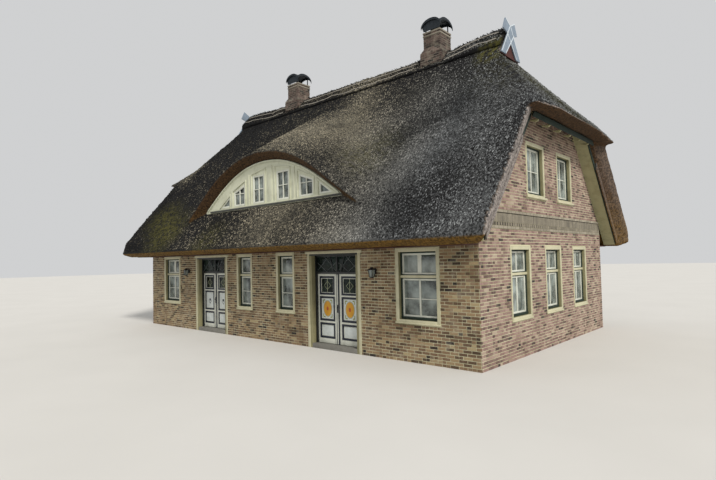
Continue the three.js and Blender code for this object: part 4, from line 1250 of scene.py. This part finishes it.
def hood_rims(name, cx):
    # A deep rolled edge along the open arch on each of the four sides
    piece = start_piece(name, steel)
    half_x, half_y = 0.375, 0.39
    steps = 14
    for half, depth, turned in ((half_x, half_y, False), (half_y, half_x, True)):
        line = [hood_arch(half, i / steps) for i in range(-steps, steps + 1)]
        for end in (-1, 1):
            for (a0, h0), (a1, h1) in zip(line, line[1:]):
                def place(u, v, w):
                    along = (a0, a1)[u]
                    height = (h0, h1)[u] - (0.08, 0.001)[w]
                    out = end * (depth - (0.022, -0.002)[v])
                    return (cx + out, along, height) if turned else (cx + along, out, height)

                timber(0, place)
    bpy.ops.mesh.select_all(action="SELECT")
    bpy.ops.mesh.remove_doubles(threshold=0.0002)
    own(end_piece(piece, 0), "house", "dark_metal")


def spread_at(z):
    # How far the stack's foot stands out at some height
    return SPREAD * clamp((SPREAD_TOP - z) / SPREAD_HEIGHT)


for side, cx in chimney_places:
    set_material(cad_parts[side + "_chimney"], sooty_mortar)
    set_material(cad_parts[side + "_chimney_hood"], steel)
    corners, tones = [], []
    half_x, half_y, lap = 0.315, 0.33, 0.004
    for axis, sign in ((0, 1), (0, -1), (1, 1), (1, -1)):
        depth, length = (half_x, half_y) if axis == 0 else (half_y, half_x)

        def place(u, out, z):
            far = sign * (depth + spread_at(z) + out)
            return (cx + far, u, z) if axis == 0 else (cx + u, far, z)

        own_corners = []
        lay_bricks(place, lambda z: (-length - spread_at(z) - lap, length + spread_at(z) + lap), [],
                   STACK_FOOT, NECK_Z, own_corners, tones)
        lay_bricks(place, lambda z: (-length - lap, length + lap), [], *STRING_COURSE, own_corners, tones)
        if (axis == 0) == (sign > 0):
            own_corners = [block[4:] + block[:4] for block in own_corners]
        corners += own_corners
    brick_piece(side + "_chimney_bricks", corners, tones, sooty_brick)
    hood_rims(side + "_hood_rims", cx)

# Wall lanterns: a cast iron arm and a four-sided lantern with glass between dark ribs
iron = worn_surface("black_cast_iron_paint", "#14161a", "#22201d", 0.4)
RIB = 0.006
for side, x in (("left", -4.64), ("right", 4.64)):
    IRON, PANE = range(2)
    piece = start_piece(side + "_lantern", iron, glass)
    z = 2.17
    y = FACE_Y - 0.1303
    mid_bar(IRON, x, 0.045, FACE_Y - 0.0153, FACE_Y - 0.0003, z - 0.06, z + 0.09)
    mid_bar(IRON, x, 0.011, y, FACE_Y - 0.01, z + 0.052, z + 0.073)
    slanted(IRON, (x, z - 0.04), (x, z + 0.055), 0.014, FACE_Y - 0.05, FACE_Y - 0.012)

    def tapered(slot_index, low_half, high_half, z0, z1):
        def place(u, v, w):
            half = (low_half, high_half)[w]
            return x + (-1, 1)[u] * half, y + (-1, 1)[v] * half, (z0, z1)[w]

        timber(slot_index, place)

    tapered(PANE, 0.042, 0.06, z - 0.13, z + 0.05)
    for su, sv in ((-1, -1), (-1, 1), (1, -1), (1, 1)):
        def rib(u, v, w):
            half = (0.046, 0.064)[w]
            return x + su * half + (-RIB, RIB)[u], y + sv * half + (-RIB, RIB)[v], (z - 0.13, z + 0.055)[w]

        timber(IRON, rib)
    tapered(IRON, 0.03, 0.052, z - 0.15, z - 0.128)
    tapered(IRON, 0.088, 0.088, z + 0.05, z + 0.062)
    tapered(IRON, 0.085, 0.03, z + 0.062, z + 0.1)
    tapered(IRON, 0.022, 0.03, z + 0.1, z + 0.128)
    own(end_piece(piece, 0.0015), "house", "dark_metal", side + "_wall_lantern")

for node in ("front_eaves_soffit", "back_eaves_soffit"):
    set_material(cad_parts[node], red_brown)

bpy.context.view_layer.update()
